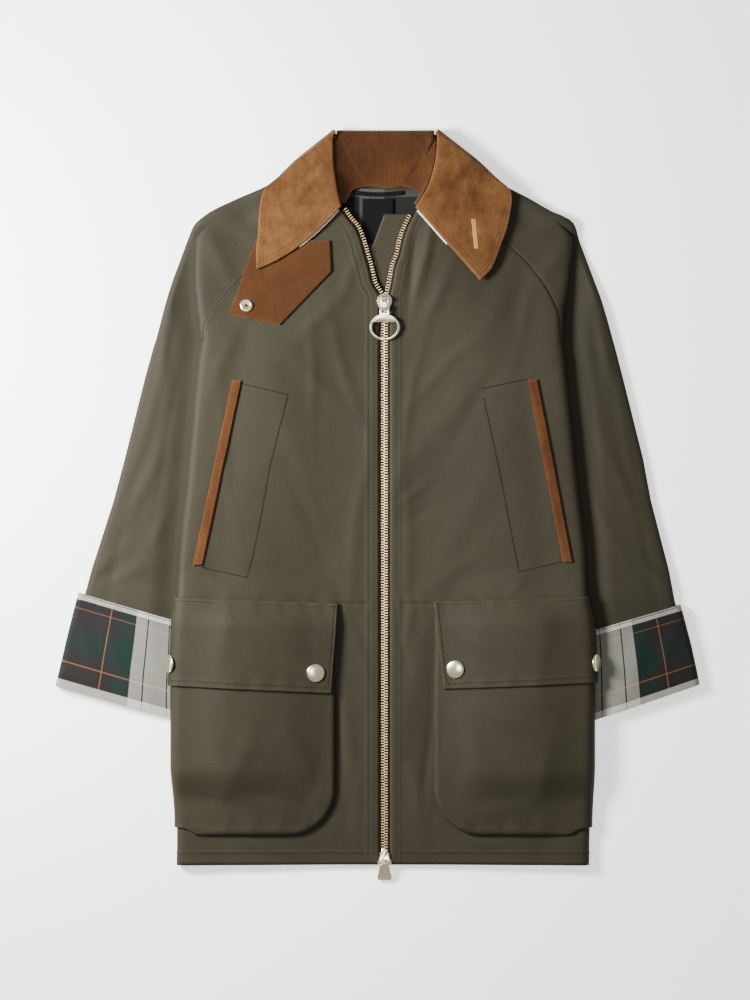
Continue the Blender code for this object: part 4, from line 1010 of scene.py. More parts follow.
# %% Sleeves
def sleeve(side):
    levels = np.concatenate([SHOULDER_ROWS, np.linspace(651, 678, 8)])
    upper = np.array([sleeve_row(side, y) for y in levels])[::-1]
    lower_rows = np.concatenate(
        [np.linspace(0, 1, 4), np.linspace(1, len(ARM[side.name]) - 1, 84)[1:]]
    )
    lower = np.array([arm_row(side, row) for row in lower_rows])
    hidden = upper.shape[1] - lower.shape[1]
    lower = np.concatenate([np.repeat(lower[:, :1], hidden, axis=1), lower], axis=1)
    grid = np.concatenate([upper, lower])
    kept = np.ones((len(grid) - 1, grid.shape[1] - 1), bool)
    kept[len(levels) - 1:, :hidden] = False
    chart = np.stack([grid[..., 0], grid[..., 1]], axis=-1) * MM
    # The sleeves take the darker copy of the olive, which is painted shade.
    obj = cloth("sleeve_panel_" + side.name, grid, chart, OLIVE_SHADED_SLEEVE, kept)
    cut(obj, "sleeve_" + side.name, 0.300, 0.640)


for half in SIDES:
    sleeve(half)

# %% [markdown]
# ## Cuffs
# The cuff is the sleeve's own end, turned back over itself, so it is a second flat tube round the
# first. Its map runs round the arm and along it, which sets the check square to the sleeve.

# %% Cuffs
CUFF = {
    # outer y, outer reach, inner y, inner reach
    "left": (
        (259, 289.5, 215, 140), (246, 293, 202, 143), (216, 300.5, 170, 151), (184, 308, 141, 158),
        (170.5, 311.4, 128.5, 161)
    ),
    "right": (
        (247.5, 280, 206, 140), (235, 283.5, 193.5, 143), (208, 290.5, 164, 151),
        (182.5, 296, 136, 158), (172, 298.1, 125, 161)
    ),
}
CUFF_CREASES = (
    ("left", 250, 196, 20, 40, 8, 0.9), ("left", 285, 215, 14, 36, 6, 0.8),
    ("left", 222, 180, 22, 34, 6, -0.7), ("right", 240, 190, 18, 40, 8, 0.9),
    ("right", 272, 210, 14, 36, 6, 0.8), ("right", 216, 186, 22, 34, 6, -0.7),
)
CUFF_LENGTH, CUFF_ROWS = 88.0, 4  # the check's length, and the steps between the table's rows


def cuff(side):
    rows = []
    places = np.concatenate([[0, 0.012, 0.024], np.linspace(0.05, 0.95, 26), [0.976, 0.988, 1.0]])
    for share in places:
        outer_y, outer_s, inner_y, inner_s = leaning(CUFF[side.name], share * CUFF_ROWS)
        edge = float(side.fold((outer_y + inner_y) / 2)) + 5
        middle = np.concatenate([
            np.linspace(inner_s + 4, edge, 16), np.linspace(edge, outer_s - ARM_BEND, 32)[1:]
        ])
        along = (middle - inner_s) / (outer_s - inner_s)
        cloth_y = inner_y + (outer_y - inner_y) * along
        shown, top = arm_shown(side, middle, cloth_y)
        top = top + PITCH * (0.85 + 0.15 * smooth(share * 8)) + PITCH + 0.5
        top = top + creased(CUFF_CREASES, side.name, middle, cloth_y) * shown
        turn = np.linspace(0, math.pi, 12)[1:-1]
        outer_bend = outer_s - ARM_BEND + ARM_BEND * np.sin(turn)
        outer_z = half_turn(top[-1], FLOOR, turn)
        inner_bend = inner_s + 4 - 4 * np.sin(turn)
        inner_z = half_turn(FLOOR, top[0], turn)
        s = np.concatenate([middle, outer_bend, middle[::-1], inner_bend])
        z = np.concatenate([top, outer_z, np.full(len(middle), FLOOR), inner_z])
        y = inner_y + (outer_y - inner_y) * (s - inner_s) / (outer_s - inner_s)
        rows.append(np.stack([side.sign * s, y, z], axis=-1))
    grid = np.array(rows)
    middle_row = len(places) // 2
    around = lengths(grid[middle_row:middle_row + 1], 1)
    across = np.broadcast_to(around * MM, grid.shape[:2])
    along = np.broadcast_to((1 - places)[:, None] * CUFF_LENGTH * MM, grid.shape[:2])
    chart = np.stack([across, along], axis=-1)
    obj = cloth("cuff_turned_" + side.name, grid, chart, CHECK, loop=True)
    cut(obj, "cuff_" + side.name, 0.312, 0.090)


for half in SIDES:
    cuff(half)

# %% [markdown]
# ## Collar
# The fall of the collar is one wrap of cord: over the left front, round the shoulder, flat under
# the back of the neck, and over the right front. It is drawn as rays from the roll line to the free
# edge. The stand inside it rises from the neck seam and turns down over the crest.

# %% Collar fall
FALL_LIFT = 3 * PITCH + 0.4
FALL_LEFT = (
    # roll s, roll y, edge s, edge y, bow
    (40.4, 624.2, 121, 565, 8), (43, 633, 121.5, 580, 5), (46, 650, 120, 596, 2),
    (48, 665, 118.3, 619, 0), (48.5, 680, 116.4, 632, 0), (48.2, 690, 112.5, 641, 0),
    (45.5, 693.8, 106, 645.5, 0),
)
FALL_RIGHT = (
    (29, 623, 90, 554.5, 0), (34, 631, 101, 565, 0), (40, 641, 110, 587, 0), (45, 655, 117, 608, 0),
    (48.5, 672, 120.5, 630, 0), (49.5, 688, 119, 639, 0), (48.3, 693.8, 111, 645, 0),
)
SHOULDER_OUT = (2.5, 3.2)
BACK_FALL = ((31, 88, 629), (15, 48, 618), (0, 0, 615))
CREST_Y = 693.8
FALL_CREASES = (
    ("left", 78, 640, -52, 34, 4, 1.5), ("left", 62, 652, -40, 26, 3.5, 1.1),
    ("left", 92, 612, 20, 30, 6, 0.8), ("left", 60, 628, 48, 22, 4, 0.9),
    ("left", 104, 590, 10, 24, 5, 0.6), ("left", 84, 590, -48, 26, 5, -0.7),
    ("right", 70, 655, 50, 26, 3.5, 1.4), ("right", 60, 640, 20, 28, 4, 1.0),
    ("right", 84, 625, -24, 30, 6, 0.8), ("right", 96, 600, -12, 28, 5, 0.7),
    ("right", 78, 595, 40, 26, 5, -0.7), ("right", 88, 648, 56, 20, 4, 1.0),
)


def fall_point(ray, share):
    """Plan places on a ray of the fall, from its roll line at 0 to its free edge at 1."""
    roll_s, roll_y, edge_s, edge_y, bow = ray
    s = roll_s + (edge_s - roll_s) * share
    return s, roll_y + (edge_y - roll_y) * share - bow * 4 * share * (1 - share)


def fall_height(side, s, y):
    return side.top(s, y) + FALL_LIFT + creased(FALL_CREASES, side.name, s, y)


def finer_rows(table, count):
    """A table's rows with more between them, on smooth curves."""
    rows = np.array(table, float)
    at = np.linspace(0, len(rows) - 1, count)
    indexed = np.concatenate([np.arange(len(rows))[:, None], rows], axis=1)
    return np.stack([curve(indexed, c + 1, at) for c in range(rows.shape[1])], axis=-1)


FALL_SHARE = np.concatenate([np.linspace(0, 0.9, 30), [0.925, 0.945, 0.955, 0.97, 0.985, 1.0]])
FALL_TAPER = 1 - 0.75 * smooth((FALL_SHARE - 0.55) / 0.45)


def fall_rays(side, rows):
    share = FALL_SHARE
    rays = []
    for ray in finer_rows(rows, 30):
        s, y = fall_point(ray, share)
        rays.append(np.stack([side.sign * s, y, fall_height(side, s, y)], axis=-1))
    last = rays[-1]
    for turn in np.linspace(0, math.pi, 14)[1:]:
        ray = last.copy()
        ray[:, 0] += side.sign * SHOULDER_OUT[0] * math.sin(turn) * FALL_TAPER
        ray[:, 1] += SHOULDER_OUT[1] * math.sin(turn) * FALL_TAPER
        ray[:, 2] = half_turn(last[:, 2], FLOOR, turn)
        rays.append(ray)
    ends = [(48.0, 108.0, 645.0), *BACK_FALL]
    for first, second in zip(ends[:-1], ends[1:]):
        for t in (0.25, 0.5, 0.75, 1.0):
            if second is BACK_FALL[-1] and t == 1.0:
                continue
            roll_s, edge_s, edge_y = (np.array(first) * (1 - t) + np.array(second) * t).tolist()
            x = side.sign * (roll_s + (edge_s - roll_s) * share)
            rays.append(
                np.stack([x, CREST_Y + (edge_y - CREST_Y) * share, 0 * share + FLOOR], axis=-1)
            )
    return rays


def collar_fall():
    share = FALL_SHARE
    centre = np.stack(
        [0 * share, CREST_Y + (BACK_FALL[-1][2] - CREST_Y) * share, 0 * share + FLOOR], axis=-1
    )
    grid = np.array(fall_rays(LEFT, FALL_LEFT) + [centre] + fall_rays(RIGHT, FALL_RIGHT)[::-1])
    chart = grid[..., :2] * MM
    obj = cloth("collar_fall_cord", grid, chart, CORD)
    cut(obj, "collar_fall", 0.430, 0.086)


collar_fall()

# %% Collar stand and the pale edge of the undercollar
STAND = (
    (0.35, 36.5, 627.5, 14.6), (1, 34.5, 632, 12.5), (2, 31, 638.5, 9.5), (3, 27, 641.5, 7.6),
    (4, 22, 643, 6.9), (5, 17, 643.6, 6.7),
)
CREST_START, CREST_BULGE = 689.0, 7.2
SIDE_STATIONS, BACK_STATIONS = 22, 31


def stand_side(side, rows):
    stations = []
    for ray, seam_s, seam_y, seam_z in finer_rows(STAND, SIDE_STATIONS):
        low = int(ray)
        part = ray - low
        roll_s = rows[low][0] * (1 - part) + rows[min(low + 1, 6)][0] * part
        roll_y = rows[low][1] * (1 - part) + rows[min(low + 1, 6)][1] * part
        seam_s = min(seam_s, roll_s - 3.0)
        roll_z = float(side.top(roll_s, roll_y)) + FALL_LIFT - 0.1
        toward = np.array([seam_s - roll_s, seam_y - roll_y])
        toward /= np.linalg.norm(toward)
        start = np.array([roll_s, roll_y]) + toward * 0.55
        share = np.linspace(0, 1, 26)
        plan = np.array([seam_s, seam_y]) + (start - (seam_s, seam_y)) * share[:, None]
        z = seam_z + (roll_z - seam_z) * smooth(share * 0.5 + 0.25 * share)
        stations.append(np.stack([side.sign * plan[:, 0], plan[:, 1], z], axis=-1))
    return stations


def stand_back(x):
    share = np.linspace(0, 1, 18)
    crest = 12.0 + 3.0 * (abs(x) / 40.0) ** 2
    y = NECK_SEAM + 0.7 + (CREST_START - NECK_SEAM - 0.7) * share
    z = 6.7 + (crest - 6.7) * share
    turn = np.linspace(0, math.pi, 9)[1:]
    y = np.concatenate([y, CREST_START + CREST_BULGE * np.sin(turn)])
    z = np.concatenate([z, half_turn(crest, 3.1, turn)])
    seam_x = x * 0.33
    across = np.concatenate([seam_x + (x - seam_x) * share, np.full(8, x)])
    return np.stack([across, y, z], axis=-1)


def collar_stand():
    stations = stand_side(LEFT, FALL_LEFT)
    stations += [stand_back(x) for x in np.linspace(-45.0, 46.5, BACK_STATIONS)]
    stations += stand_side(RIGHT, FALL_RIGHT)[::-1]
    grid = np.array(stations)
    obj = cloth("collar_stand_cord", grid, grid[..., :2] * MM, CORD_STAND)
    cut(obj, "collar_stand", 0.175, 0.056)
    return grid


def undercollar(side, rows):
    s, y = fall_point(rows[0], np.linspace(0.04, 0.5, 26))
    along = np.stack([np.gradient(s), np.gradient(y)], axis=-1)
    along /= np.linalg.norm(along, axis=1, keepdims=True)
    strips = []
    for out in np.linspace(1.3, -8.0, 8):
        at_s, at_y = s + along[:, 1] * out, y - along[:, 0] * out
        strips.append(
            np.stack([side.sign * at_s, at_y, side.top(s, y) + FALL_LIFT - PITCH], axis=-1)
        )
    grid = np.array(strips)
    obj = cloth(
        "undercollar_edge_" + side.name, grid, grid[..., :2] * MM, PALE_COTTON,
        wall=1.0
    )
    cut(obj, "undercollar_" + side.name, 0.060, 0.0102)


STAND_GRID = collar_stand()
undercollar(LEFT, FALL_LEFT)
undercollar(RIGHT, FALL_RIGHT)

# %% [markdown]
# ## Throat tab, neck and welts
# Small flat pieces lie on the surface of the fronts. Each is a patch of that surface, moved out.

# %% Throat tab
TAB = (
    (147.7, 521.6, 99.3, 512), (139.5, 543, 74, 538), (132.5, 565, 50, 563), (122, 592, 51.5, 592)
)
TAB_LIFT = PITCH + 0.35


def throat_tab():
    rows = finer_rows(TAB, 4)
    at = np.linspace(0, 3, 31)
    rows = np.stack([np.interp(at, range(4), rows[:, c]) for c in range(4)], axis=-1)
    share = np.linspace(0, 1, 37)[:, None]
    plan = np.array([row[:2] * (1 - share) + row[2:] * share for row in rows])
    s, y = plan[..., 0], plan[..., 1]
    grid = LEFT.lifted(s, y, TAB_LIFT)
    turn = math.radians(-12)
    chart = np.stack(
        [s * math.cos(turn) + y * math.sin(turn), y * math.cos(turn) - s * math.sin(turn)], axis=-1
    ) * MM
    # The tab's darker cord is painted shade from the collar fall above it; its slanted ribs are its
    # own.
    obj = cloth("throat_tab_cord", grid, chart, CORD_TAB_SHADED)
    cut(obj, "throat_tab", 0.087, 0.090)


throat_tab()

# %% Neck lining, label, hanger loop and wind flap
def neck_inside():
    x, y = np.meshgrid(np.linspace(-42, 40, 24), np.linspace(556, NECK_SEAM - 1.0, 24))
    grid = np.stack([x, y, FLOOR + back_rise(np.abs(x), y) + PITCH + 0.3], axis=-1)
    obj = cloth("neck_lining_check", grid, grid[..., :2] * MM, LINING)
    cut(obj, "neck_lining", 0.083, 0.088)
    x, y = np.meshgrid(np.linspace(-21, 9, 16), np.linspace(589, 632, 20))
    grid = np.stack([x, y, FLOOR + back_rise(np.abs(x), y) + 2 * PITCH], axis=-1)
    obj = cloth("label_plain", grid, grid[..., :2] * MM, DARK_CLOTH, wall=1.0)
    cut(obj, "label", 0.030, 0.043)
    x = np.linspace(-29.5, 18.0, 30)
    sag = 1 - ((x + 5.75) / 25.25) ** 2
    rows = [
        np.stack([x, 638.2 - 2.0 * sag + edge, FLOOR + 2.9 * PITCH + 0.4 + 0.8 * sag], axis=-1)
        for edge in (-2, -1, 0, 1, 2)
    ]
    grid = np.array(rows)
    obj = cloth("hanger_loop_tape", grid, grid[..., :2] * MM, DARK_CLOTH, wall=1.2)
    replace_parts(obj, "hanger_loop")
    y = np.linspace(536, 617.5, 40)
    left = np.interp(y, (536, 546, 565, 584, 601, 617.5), (1.0, -1.4, -7.5, -12.8, -6.5, -0.5))
    x = blend(left, RIGHT.edge(y) + 11, 20)
    y = y[:, None] + 0 * x
    grid = np.stack([x, y, FLOOR + back_rise(np.abs(x), y) + 3 * PITCH], axis=-1)
    obj = cloth("wind_flap_cotton", grid, grid[..., :2] * MM, OLIVE)
    cut(obj, "wind_flap", 0.044, 0.082)


neck_inside()

# %% [markdown]
# ## Pockets
# A bellows pocket is a bag sewn on along three sides that stands off the front, deeper toward its
# middle. Its flap lies over the open top and follows the bag below it. Both wrap round the side.

# %% Bags and flaps
BAG_EDGE, BAG_BOTTOM, BAG_CORNER, BAG_TOP = 48.0, 31.0, 42.0, 236.0
BAG_RISE, BAG_PUFF, WRAP = 3.6, 2.6, 12.0
FLAP = {
    # inner edge at top and bottom, top at inner and outer end, bottom at inner and outer end
    "left": (44.5, 51.0, 249.0, 255.0, 164.0, 172.0),
    "right": (46.5, 56.5, 251.0, 256.0, 168.0, 175.0),
}
BAG_CREASES = (
    ("left", 90, 120, 30, 40, 9, 0.9), ("left", 140, 100, -24, 44, 9, 0.9),
    ("left", 120, 60, 76, 40, 8, 0.7), ("left", 70, 80, -14, 30, 7, -0.6),
    ("left", 165, 130, 10, 36, 8, 0.6), ("left", 60, 60, 50, 20, 6, 0.7),
    ("right", 90, 110, -30, 44, 9, 1.0), ("right", 150, 96, 20, 44, 9, 0.9),
    ("right", 120, 56, 80, 44, 8, 0.8), ("right", 70, 84, 14, 32, 7, -0.6),
    ("right", 110, 140, -66, 30, 7, 0.7), ("right", 62, 56, -50, 20, 6, 0.7),
)
FLAP_CREASES = (
    ("left", 90, 210, 70, 44, 9, 0.5), ("left", 150, 215, -12, 36, 8, 0.5),
    ("left", 70, 196, 20, 20, 6, -0.4), ("right", 95, 212, -70, 44, 9, 0.5),
    ("right", 150, 220, 12, 36, 8, 0.5), ("right", 74, 200, -20, 20, 6, -0.4),
)


# Gathers along the seams of the bags and flaps: place along the seam, half width, height.
FLAP_PUCKERS = (
    (50, 2.4, 0.30), (57, 3.2, -0.26), (66, 3.0, 0.36), (75, 2.6, -0.3), (83, 3.6, 0.28),
    (94, 3.0, -0.34), (104, 3.6, 0.40), (116, 3.4, -0.26), (127, 3.0, 0.34), (138, 4.2, -0.36),
    (151, 3.2, 0.32), (163, 4.0, -0.30),
)
BAG_PUCKERS = (
    (56, 3.0, 0.36), (66, 2.6, -0.40), (76, 3.4, 0.44), (87, 3.0, -0.34), (99, 3.6, 0.5),
    (113, 3.2, -0.44), (124, 3.0, 0.40), (137, 4.0, -0.40), (150, 3.4, 0.46), (164, 4.0, -0.3),
)


def bag_depth(s, y):
    """Distance of a point in the bag from its sewn edge."""
    into_s, into_y = s - BAG_EDGE, y - BAG_BOTTOM
    round_part = BAG_CORNER - np.hypot(
        np.minimum(into_s - BAG_CORNER, 0), np.minimum(into_y - BAG_CORNER, 0)
    )
    corner = (into_s < BAG_CORNER) & (into_y < BAG_CORNER)
    return np.where(corner, round_part, np.minimum(into_s, into_y))


def bag_rise(side, s, y, least=0.0):
    depth = np.maximum(bag_depth(s, y), least)
    near_side = 1 - 0.85 * smooth((s - side.fold(y) + 50) / 42)
    return (BAG_RISE * smooth(depth / 3.2) + BAG_PUFF * smooth((depth - 3) / 45)) * near_side


def bag(side):
    wide = float(side.fold(100.0)) - SIDE_BEND
    s = np.concatenate([
        BAG_EDGE + np.array([0, 1.0, 2.0, 3.2, 4.4]),
        np.linspace(BAG_EDGE + 6, BAG_EDGE + BAG_CORNER, 14),
        np.linspace(BAG_EDGE + BAG_CORNER, wide, 34)[1:], wide + np.linspace(0, WRAP, 9)[1:],
    ])
    into = np.clip(BAG_CORNER - (s - BAG_EDGE), 0, BAG_CORNER)
    bottom = BAG_BOTTOM + BAG_CORNER - np.sqrt(BAG_CORNER**2 - into**2) + 6 * smooth(
        (s - wide + 20) / 25
    )
    share = np.concatenate(
        [[0.0, 0.005, 0.01, 0.016, 0.022, 0.03], np.linspace(0.04, 1.0, 56)]
    )[:, None]
    y = bottom + (BAG_TOP - bottom) * share
    shift = side.fold(y) - side.fold(100.0)
    beyond = s - BAG_EDGE - BAG_CORNER
    s = s + np.where(beyond > 0, shift * beyond / (wide - BAG_EDGE - BAG_CORNER), 0)
    inside = smooth(bag_depth(s, y) / 14)
    out = PITCH + bag_rise(side, s, y) * smooth((252 - y) / 34) + inside * creased(
        BAG_CREASES, side.name, s, y
    )
    out = out + puckered(BAG_PUCKERS, s, y - BAG_BOTTOM - 7, 11.0) * smooth(bag_depth(s, y) / 4)
    over = 2.2 * np.exp(-(((bag_depth(s, y) - 2.0) / 1.5) ** 2)) * smooth((200 - y) / 20)
    near_corner = smooth((y - BAG_BOTTOM) / BAG_CORNER)
    grid = side.lifted(s - over * near_corner, y - over * (1 - near_corner), out)
    obj = cloth(
        "pocket_bag_" + side.name, grid, np.stack([side.sign * s, y], axis=-1) * MM, OLIVE,
    )
    cut(obj, "bag_" + side.name, 0.168, 0.212)


def flap_out(side, s, y):
    laid = smooth((257 - y) / 30)
    top_s, _, top_in, top_out = FLAP[side.name][:4]
    down = top_in + (top_out - top_in) * (s - top_s) / 125 - y
    gathers = puckered(FLAP_PUCKERS, s, down - 1.0, 15.0) + puckered(
        FLAP_PUCKERS, s + 9, down - 80, 9.0
    )
    return PITCH + 0.25 + (PITCH + bag_rise(side, s, y, 3.4)) * laid + gathers


def flap(side):
    top_s, low_s, top_in, top_out, low_in, low_out = FLAP[side.name]
    share = np.concatenate([[0, 0.012, 0.024, 0.036, 0.05], np.linspace(0.07, 1, 30)])[:, None]
    across = np.concatenate(
        [[0, 0.007, 0.014, 0.022], np.linspace(0.03, 0.93, 44), np.linspace(0.93, 1.0, 8)[1:]]
    )
    inner = low_s + (top_s - low_s) * share
    low_y = low_in + (low_out - low_in) * across
    top_y = top_in + (top_out - top_in) * across
    y = low_y + (top_y - low_y) * share
    end = side.fold(y) - SIDE_BEND + WRAP
    s = inner + (end - inner) * across
    turned = 0.4 * (1 - smooth((share * 86 - 7) / 1.2))
    out = flap_out(side, s, y) + turned + creased(FLAP_CREASES, side.name, s, y)
    grid = side.lifted(s, y, out)
    obj = cloth(
        "pocket_flap_" + side.name, grid, np.stack([side.sign * s, y], axis=-1) * MM, OLIVE,
    )
    cut(obj, "flap_" + side.name, 0.168, 0.092)


for half in SIDES:
    bag(half)
    flap(half)

# %% Welts of the hand pockets
WELT = {"left": (139.7, 459.8, 176.7, 285.0), "right": (140.0, 460.5, 173.0, 288.0)}
WELT_HALF = 4.4


def welt(side):
    s0, y0, s1, y1 = WELT[side.name]
    share = np.linspace(0, 1, 70)[:, None]
    over = np.linspace(-WELT_HALF, WELT_HALF, 9)
    s = s0 + (s1 - s0) * share + over
    y = y0 + (y1 - y0) * share + 0 * over
    crown = 0.35 * (1 - (over / WELT_HALF) ** 2)
    grid = side.lifted(s, y, PITCH + crown)
    chart = np.stack([over + 0 * share, share * (y0 - y1) + 0 * over], axis=-1) * MM
    obj = cloth("pocket_welt_" + side.name, grid, chart, CORD_WELT)
    cut(obj, "welt_" + side.name, 0.0102, 0.182)


for half in SIDES:
    welt(half)

# %% [markdown]
# ## Zip
# The zip's tapes are sewn beneath the fronts' edges, and a metal tooth is clamped on each tape's
# cord every two and a half millimetres. The two rows mesh below the slider and part above it.
# The teeth follow a path, so Geometry Nodes place them: the path is resampled at the pitch, a
# tooth is put on each point and turned along the path, and the copies are made real.

# %% Tapes
ZIP_ROWS = np.concatenate([[14.0], np.linspace(20, 535, 90), np.linspace(538, 604, 44)])
TOP_STOP = {"left": 620.0, "right": 615.0}
CHAIN_SINK = 0.4


def along_edge(side, y, inward):
    """Points beside the front's edge, moved toward the middle of the zip."""
    slope = (side.edge(y + 1) - side.edge(y - 1)) / 2
    length = np.hypot(1, slope)
    return side.edge(y) - inward / length, y + inward * slope / length


def tape(side):
    y = np.concatenate([ZIP_ROWS, np.linspace(606, TOP_STOP[side.name], 8)])
    columns = []
    for inward in np.linspace(-11.0, 3.2, 9):
        s, at_y = along_edge(side, y, inward)
        under = side.top(np.maximum(s, side.edge(y)), at_y) - PITCH
        columns.append(np.stack([side.sign * s, at_y, under], axis=-1))
    grid = np.stack(columns, axis=1)
    obj = cloth("zip_tape_woven_" + side.name, grid, arc_chart(grid), TAPE, wall=0.9)
    cut(obj, "zip_tape_" + side.name, 0.0150, 0.640)


for half in SIDES:
    tape(half)


# %% Repeats along a path
def path_object(name, lines):
    """A curve object from lists of points in millimetres, one open line for each list."""
    data = bpy.data.curves.new(name, "CURVE")
    data.dimensions = "3D"
    for line in lines:
        points = metres(line)
        spline = data.splines.new("POLY")
        spline.points.add(len(points) - 1)
        flat = np.concatenate([points, np.ones((len(points), 1))], axis=1)
        spline.points.foreach_set("co", flat.ravel())
    return added(name, data)


class Tree:
    """A Geometry Nodes tree with short ways to add and join its nodes."""

    def __init__(self, name):
        self.tree = bpy.data.node_groups.new(name, "GeometryNodeTree")
        self.ids = {}
        self.tree.interface.new_socket("Geometry", in_out="INPUT", socket_type="NodeSocketGeometry")
        self.tree.interface.new_socket(
            "Geometry", in_out="OUTPUT", socket_type="NodeSocketGeometry"
        )

    def size(self, name, kind="NodeSocketFloat"):
        self.ids[name] = self.tree.interface.new_socket(
            name, in_out="INPUT", socket_type=kind
        ).identifier

    def start(self):
        self.given = self.tree.nodes.new("NodeGroupInput")
        self.result = self.tree.nodes.new("NodeGroupOutput")

    def add(self, kind, settings=None, inputs=None):
        return add_node(self.tree, kind, settings, inputs)


def repeat_tree(name):
    """Copies of a small mesh along a path, each turned to follow it."""
    tree = Tree(name)
    tree.size("Pitch")
    tree.size("Turn", "NodeSocketVector")
    tree.size("Copy", "NodeSocketObject")
    tree.size("Finish", "NodeSocketMaterial")
    tree.start()
    given = tree.given.outputs
    spaced = tree.add(
        "GeometryNodeResampleCurve", {"mode": "LENGTH"},
        {"Curve": given["Geometry"], "Length": given["Pitch"]}
    )
    tangent = tree.add("GeometryNodeInputTangent")
    turned = tree.add(
        "FunctionNodeAlignEulerToVector", {"axis": "Y", "pivot_axis": "Z"},
        {"Vector": tangent.outputs[0]}
    )
    extra = tree.add(
        "FunctionNodeRotateEuler", {"space": "LOCAL"},
        {"Rotation": turned.outputs[0], "Rotate By": given["Turn"]}
    )
    copy = tree.add("GeometryNodeObjectInfo", None, {"Object": given["Copy"]})
    placed = tree.add(
        "GeometryNodeInstanceOnPoints", None,
        {
            "Points": spaced.outputs[0], "Instance": copy.outputs["Geometry"],
            "Rotation": extra.outputs[0]
        },
    )
    real = tree.add("GeometryNodeRealizeInstances", None, {"Geometry": placed.outputs[0]})
    dressed = tree.add(
        "GeometryNodeSetMaterial", None, {"Geometry": real.outputs[0], "Material": given["Finish"]}
    )
    tree.tree.links.new(dressed.outputs[0], tree.result.inputs[0])
    return tree


REPEAT = repeat_tree("repeat_along")


def small_mesh(name, points, faces):
    """A hidden master for the copies, in millimetres about its own middle."""
    mesh = bpy.data.meshes.new(name)
    mesh.from_pydata((np.array(points, float) * MM).tolist(), [], faces)
    mesh.shade_smooth()
    return added(name, mesh)


def repeated(name, lines, copy, pitch, finish, body=BODY, turn=(0, 0, 0)):
    """Real copies along the lines, as one plain mesh."""
    path = path_object(name + "_path", lines)
    modifier = path.modifiers.new("repeat", "NODES")
    modifier.node_group = REPEAT.tree
    for key, value in (("Pitch", pitch * MM), ("Turn", turn), ("Copy", copy), ("Finish", finish)):
        modifier[REPEAT.ids[key]] = value
    path.update_tag()
    mesh = settled(path)
    curve_data = path.data
    bpy.data.objects.remove(path, do_unlink=True)
    bpy.data.curves.remove(curve_data)
    mesh.name = name
    if not mesh.materials:
        mesh.materials.append(finish)
    obj = added(name, mesh)
    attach(obj, body)
    print(f"{name}: {len(mesh.polygons)} faces")
    return obj


# %% Teeth
TOOTH_PITCH = 2.54
TOOTH = small_mesh(
    "tooth_master",
    # a block across the path, with a narrower head that reaches past the middle
    [(-2.2, -0.8, -1.2), (2.0, -0.8, -1.2), (2.0, 0.8, -1.2), (-2.2, 0.8, -1.2),
     (-2.0, -0.62, 0.9), (1.7, -0.5, 0.9), (1.7, 0.5, 0.9), (-2.0, 0.62, 0.9),
     (-1.7, -0.45, 1.15), (1.3, -0.32, 1.15), (1.3, 0.32, 1.15), (-1.7, 0.45, 1.15)],
    [(3, 2, 1, 0), (0, 1, 5, 4), (1, 2, 6, 5), (2, 3, 7, 6), (3, 0, 4, 7),
     (4, 5, 9, 8), (5, 6, 10, 9), (6, 7, 11, 10), (7, 4, 8, 11), (8, 9, 10, 11)],
)
TOOTH.data.shade_flat()


def teeth(side):
    """Teeth of one side, from the bottom of the zip to its top stop."""
    y = np.linspace(14.0 + (0 if side is LEFT else TOOTH_PITCH / 2), TOP_STOP[side.name] - 1, 400)
    s, at_y = along_edge(side, y, 4.0 + 0 * y)
    s = np.where(y < 534, 1.25, s)
    z = side.top(side.edge(y), y) - CHAIN_SINK + 0.35
    line = np.stack([side.sign * s, at_y, z], axis=-1)
    turn = (0, 0, math.pi if side is RIGHT else 0)
    name = "zip_teeth_" + side.name
    obj = repeated(name, [line], TOOTH, TOOTH_PITCH, TEETH_BRASS, turn=turn)
    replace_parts(obj, "zip_chain_" + side.name)


for half in SIDES:
    teeth(half)
bpy.data.objects.remove(TOOTH, do_unlink=True)

# %% [markdown]
# ## Sliders, pulls and snaps
# The cast sliders and pulls keep the plain solids' sizes. A copy of each has its loose triangles
# merged and its edges rounded, because a casting has no sharp edge. The snap caps are turned.


# %% Rounded castings
ROUNDED_FROM, CAST_SHARP, CAP_SHARP = math.radians(35), math.radians(40), math.radians(50)


def casting(node, body, width):
    """A copy of a node with its corners merged and its edges rounded."""
    mesh = frame["nodes"][node].data.copy()
    obj = added("cast_" + node, mesh)
    mend(mesh, merge=True, flatten=True)
    bevel = obj.modifiers.new("round", "BEVEL")
    bevel.width = width * MM
    bevel.segments = 2
    bevel.limit_method = "ANGLE"
    bevel.angle_limit = ROUNDED_FROM
    finished = obj.data = settled(obj)
    finished.materials.clear()
    finished.materials.append(BRASS)
    finished.shade_smooth()
    finished.set_sharp_from_angle(angle=CAST_SHARP)
    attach(obj, body)
    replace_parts(obj, node)
    print(obj.name, "rides on", body)


casting("slider_top", BODY, 0.45)
casting("slider_bottom", BODY, 0.4)
casting("pull_ring", "pull_ring", 0.3)
casting("pull_bottom", "pull_bottom", 0.3)


# %% Snap caps
TURN_STEPS = 64


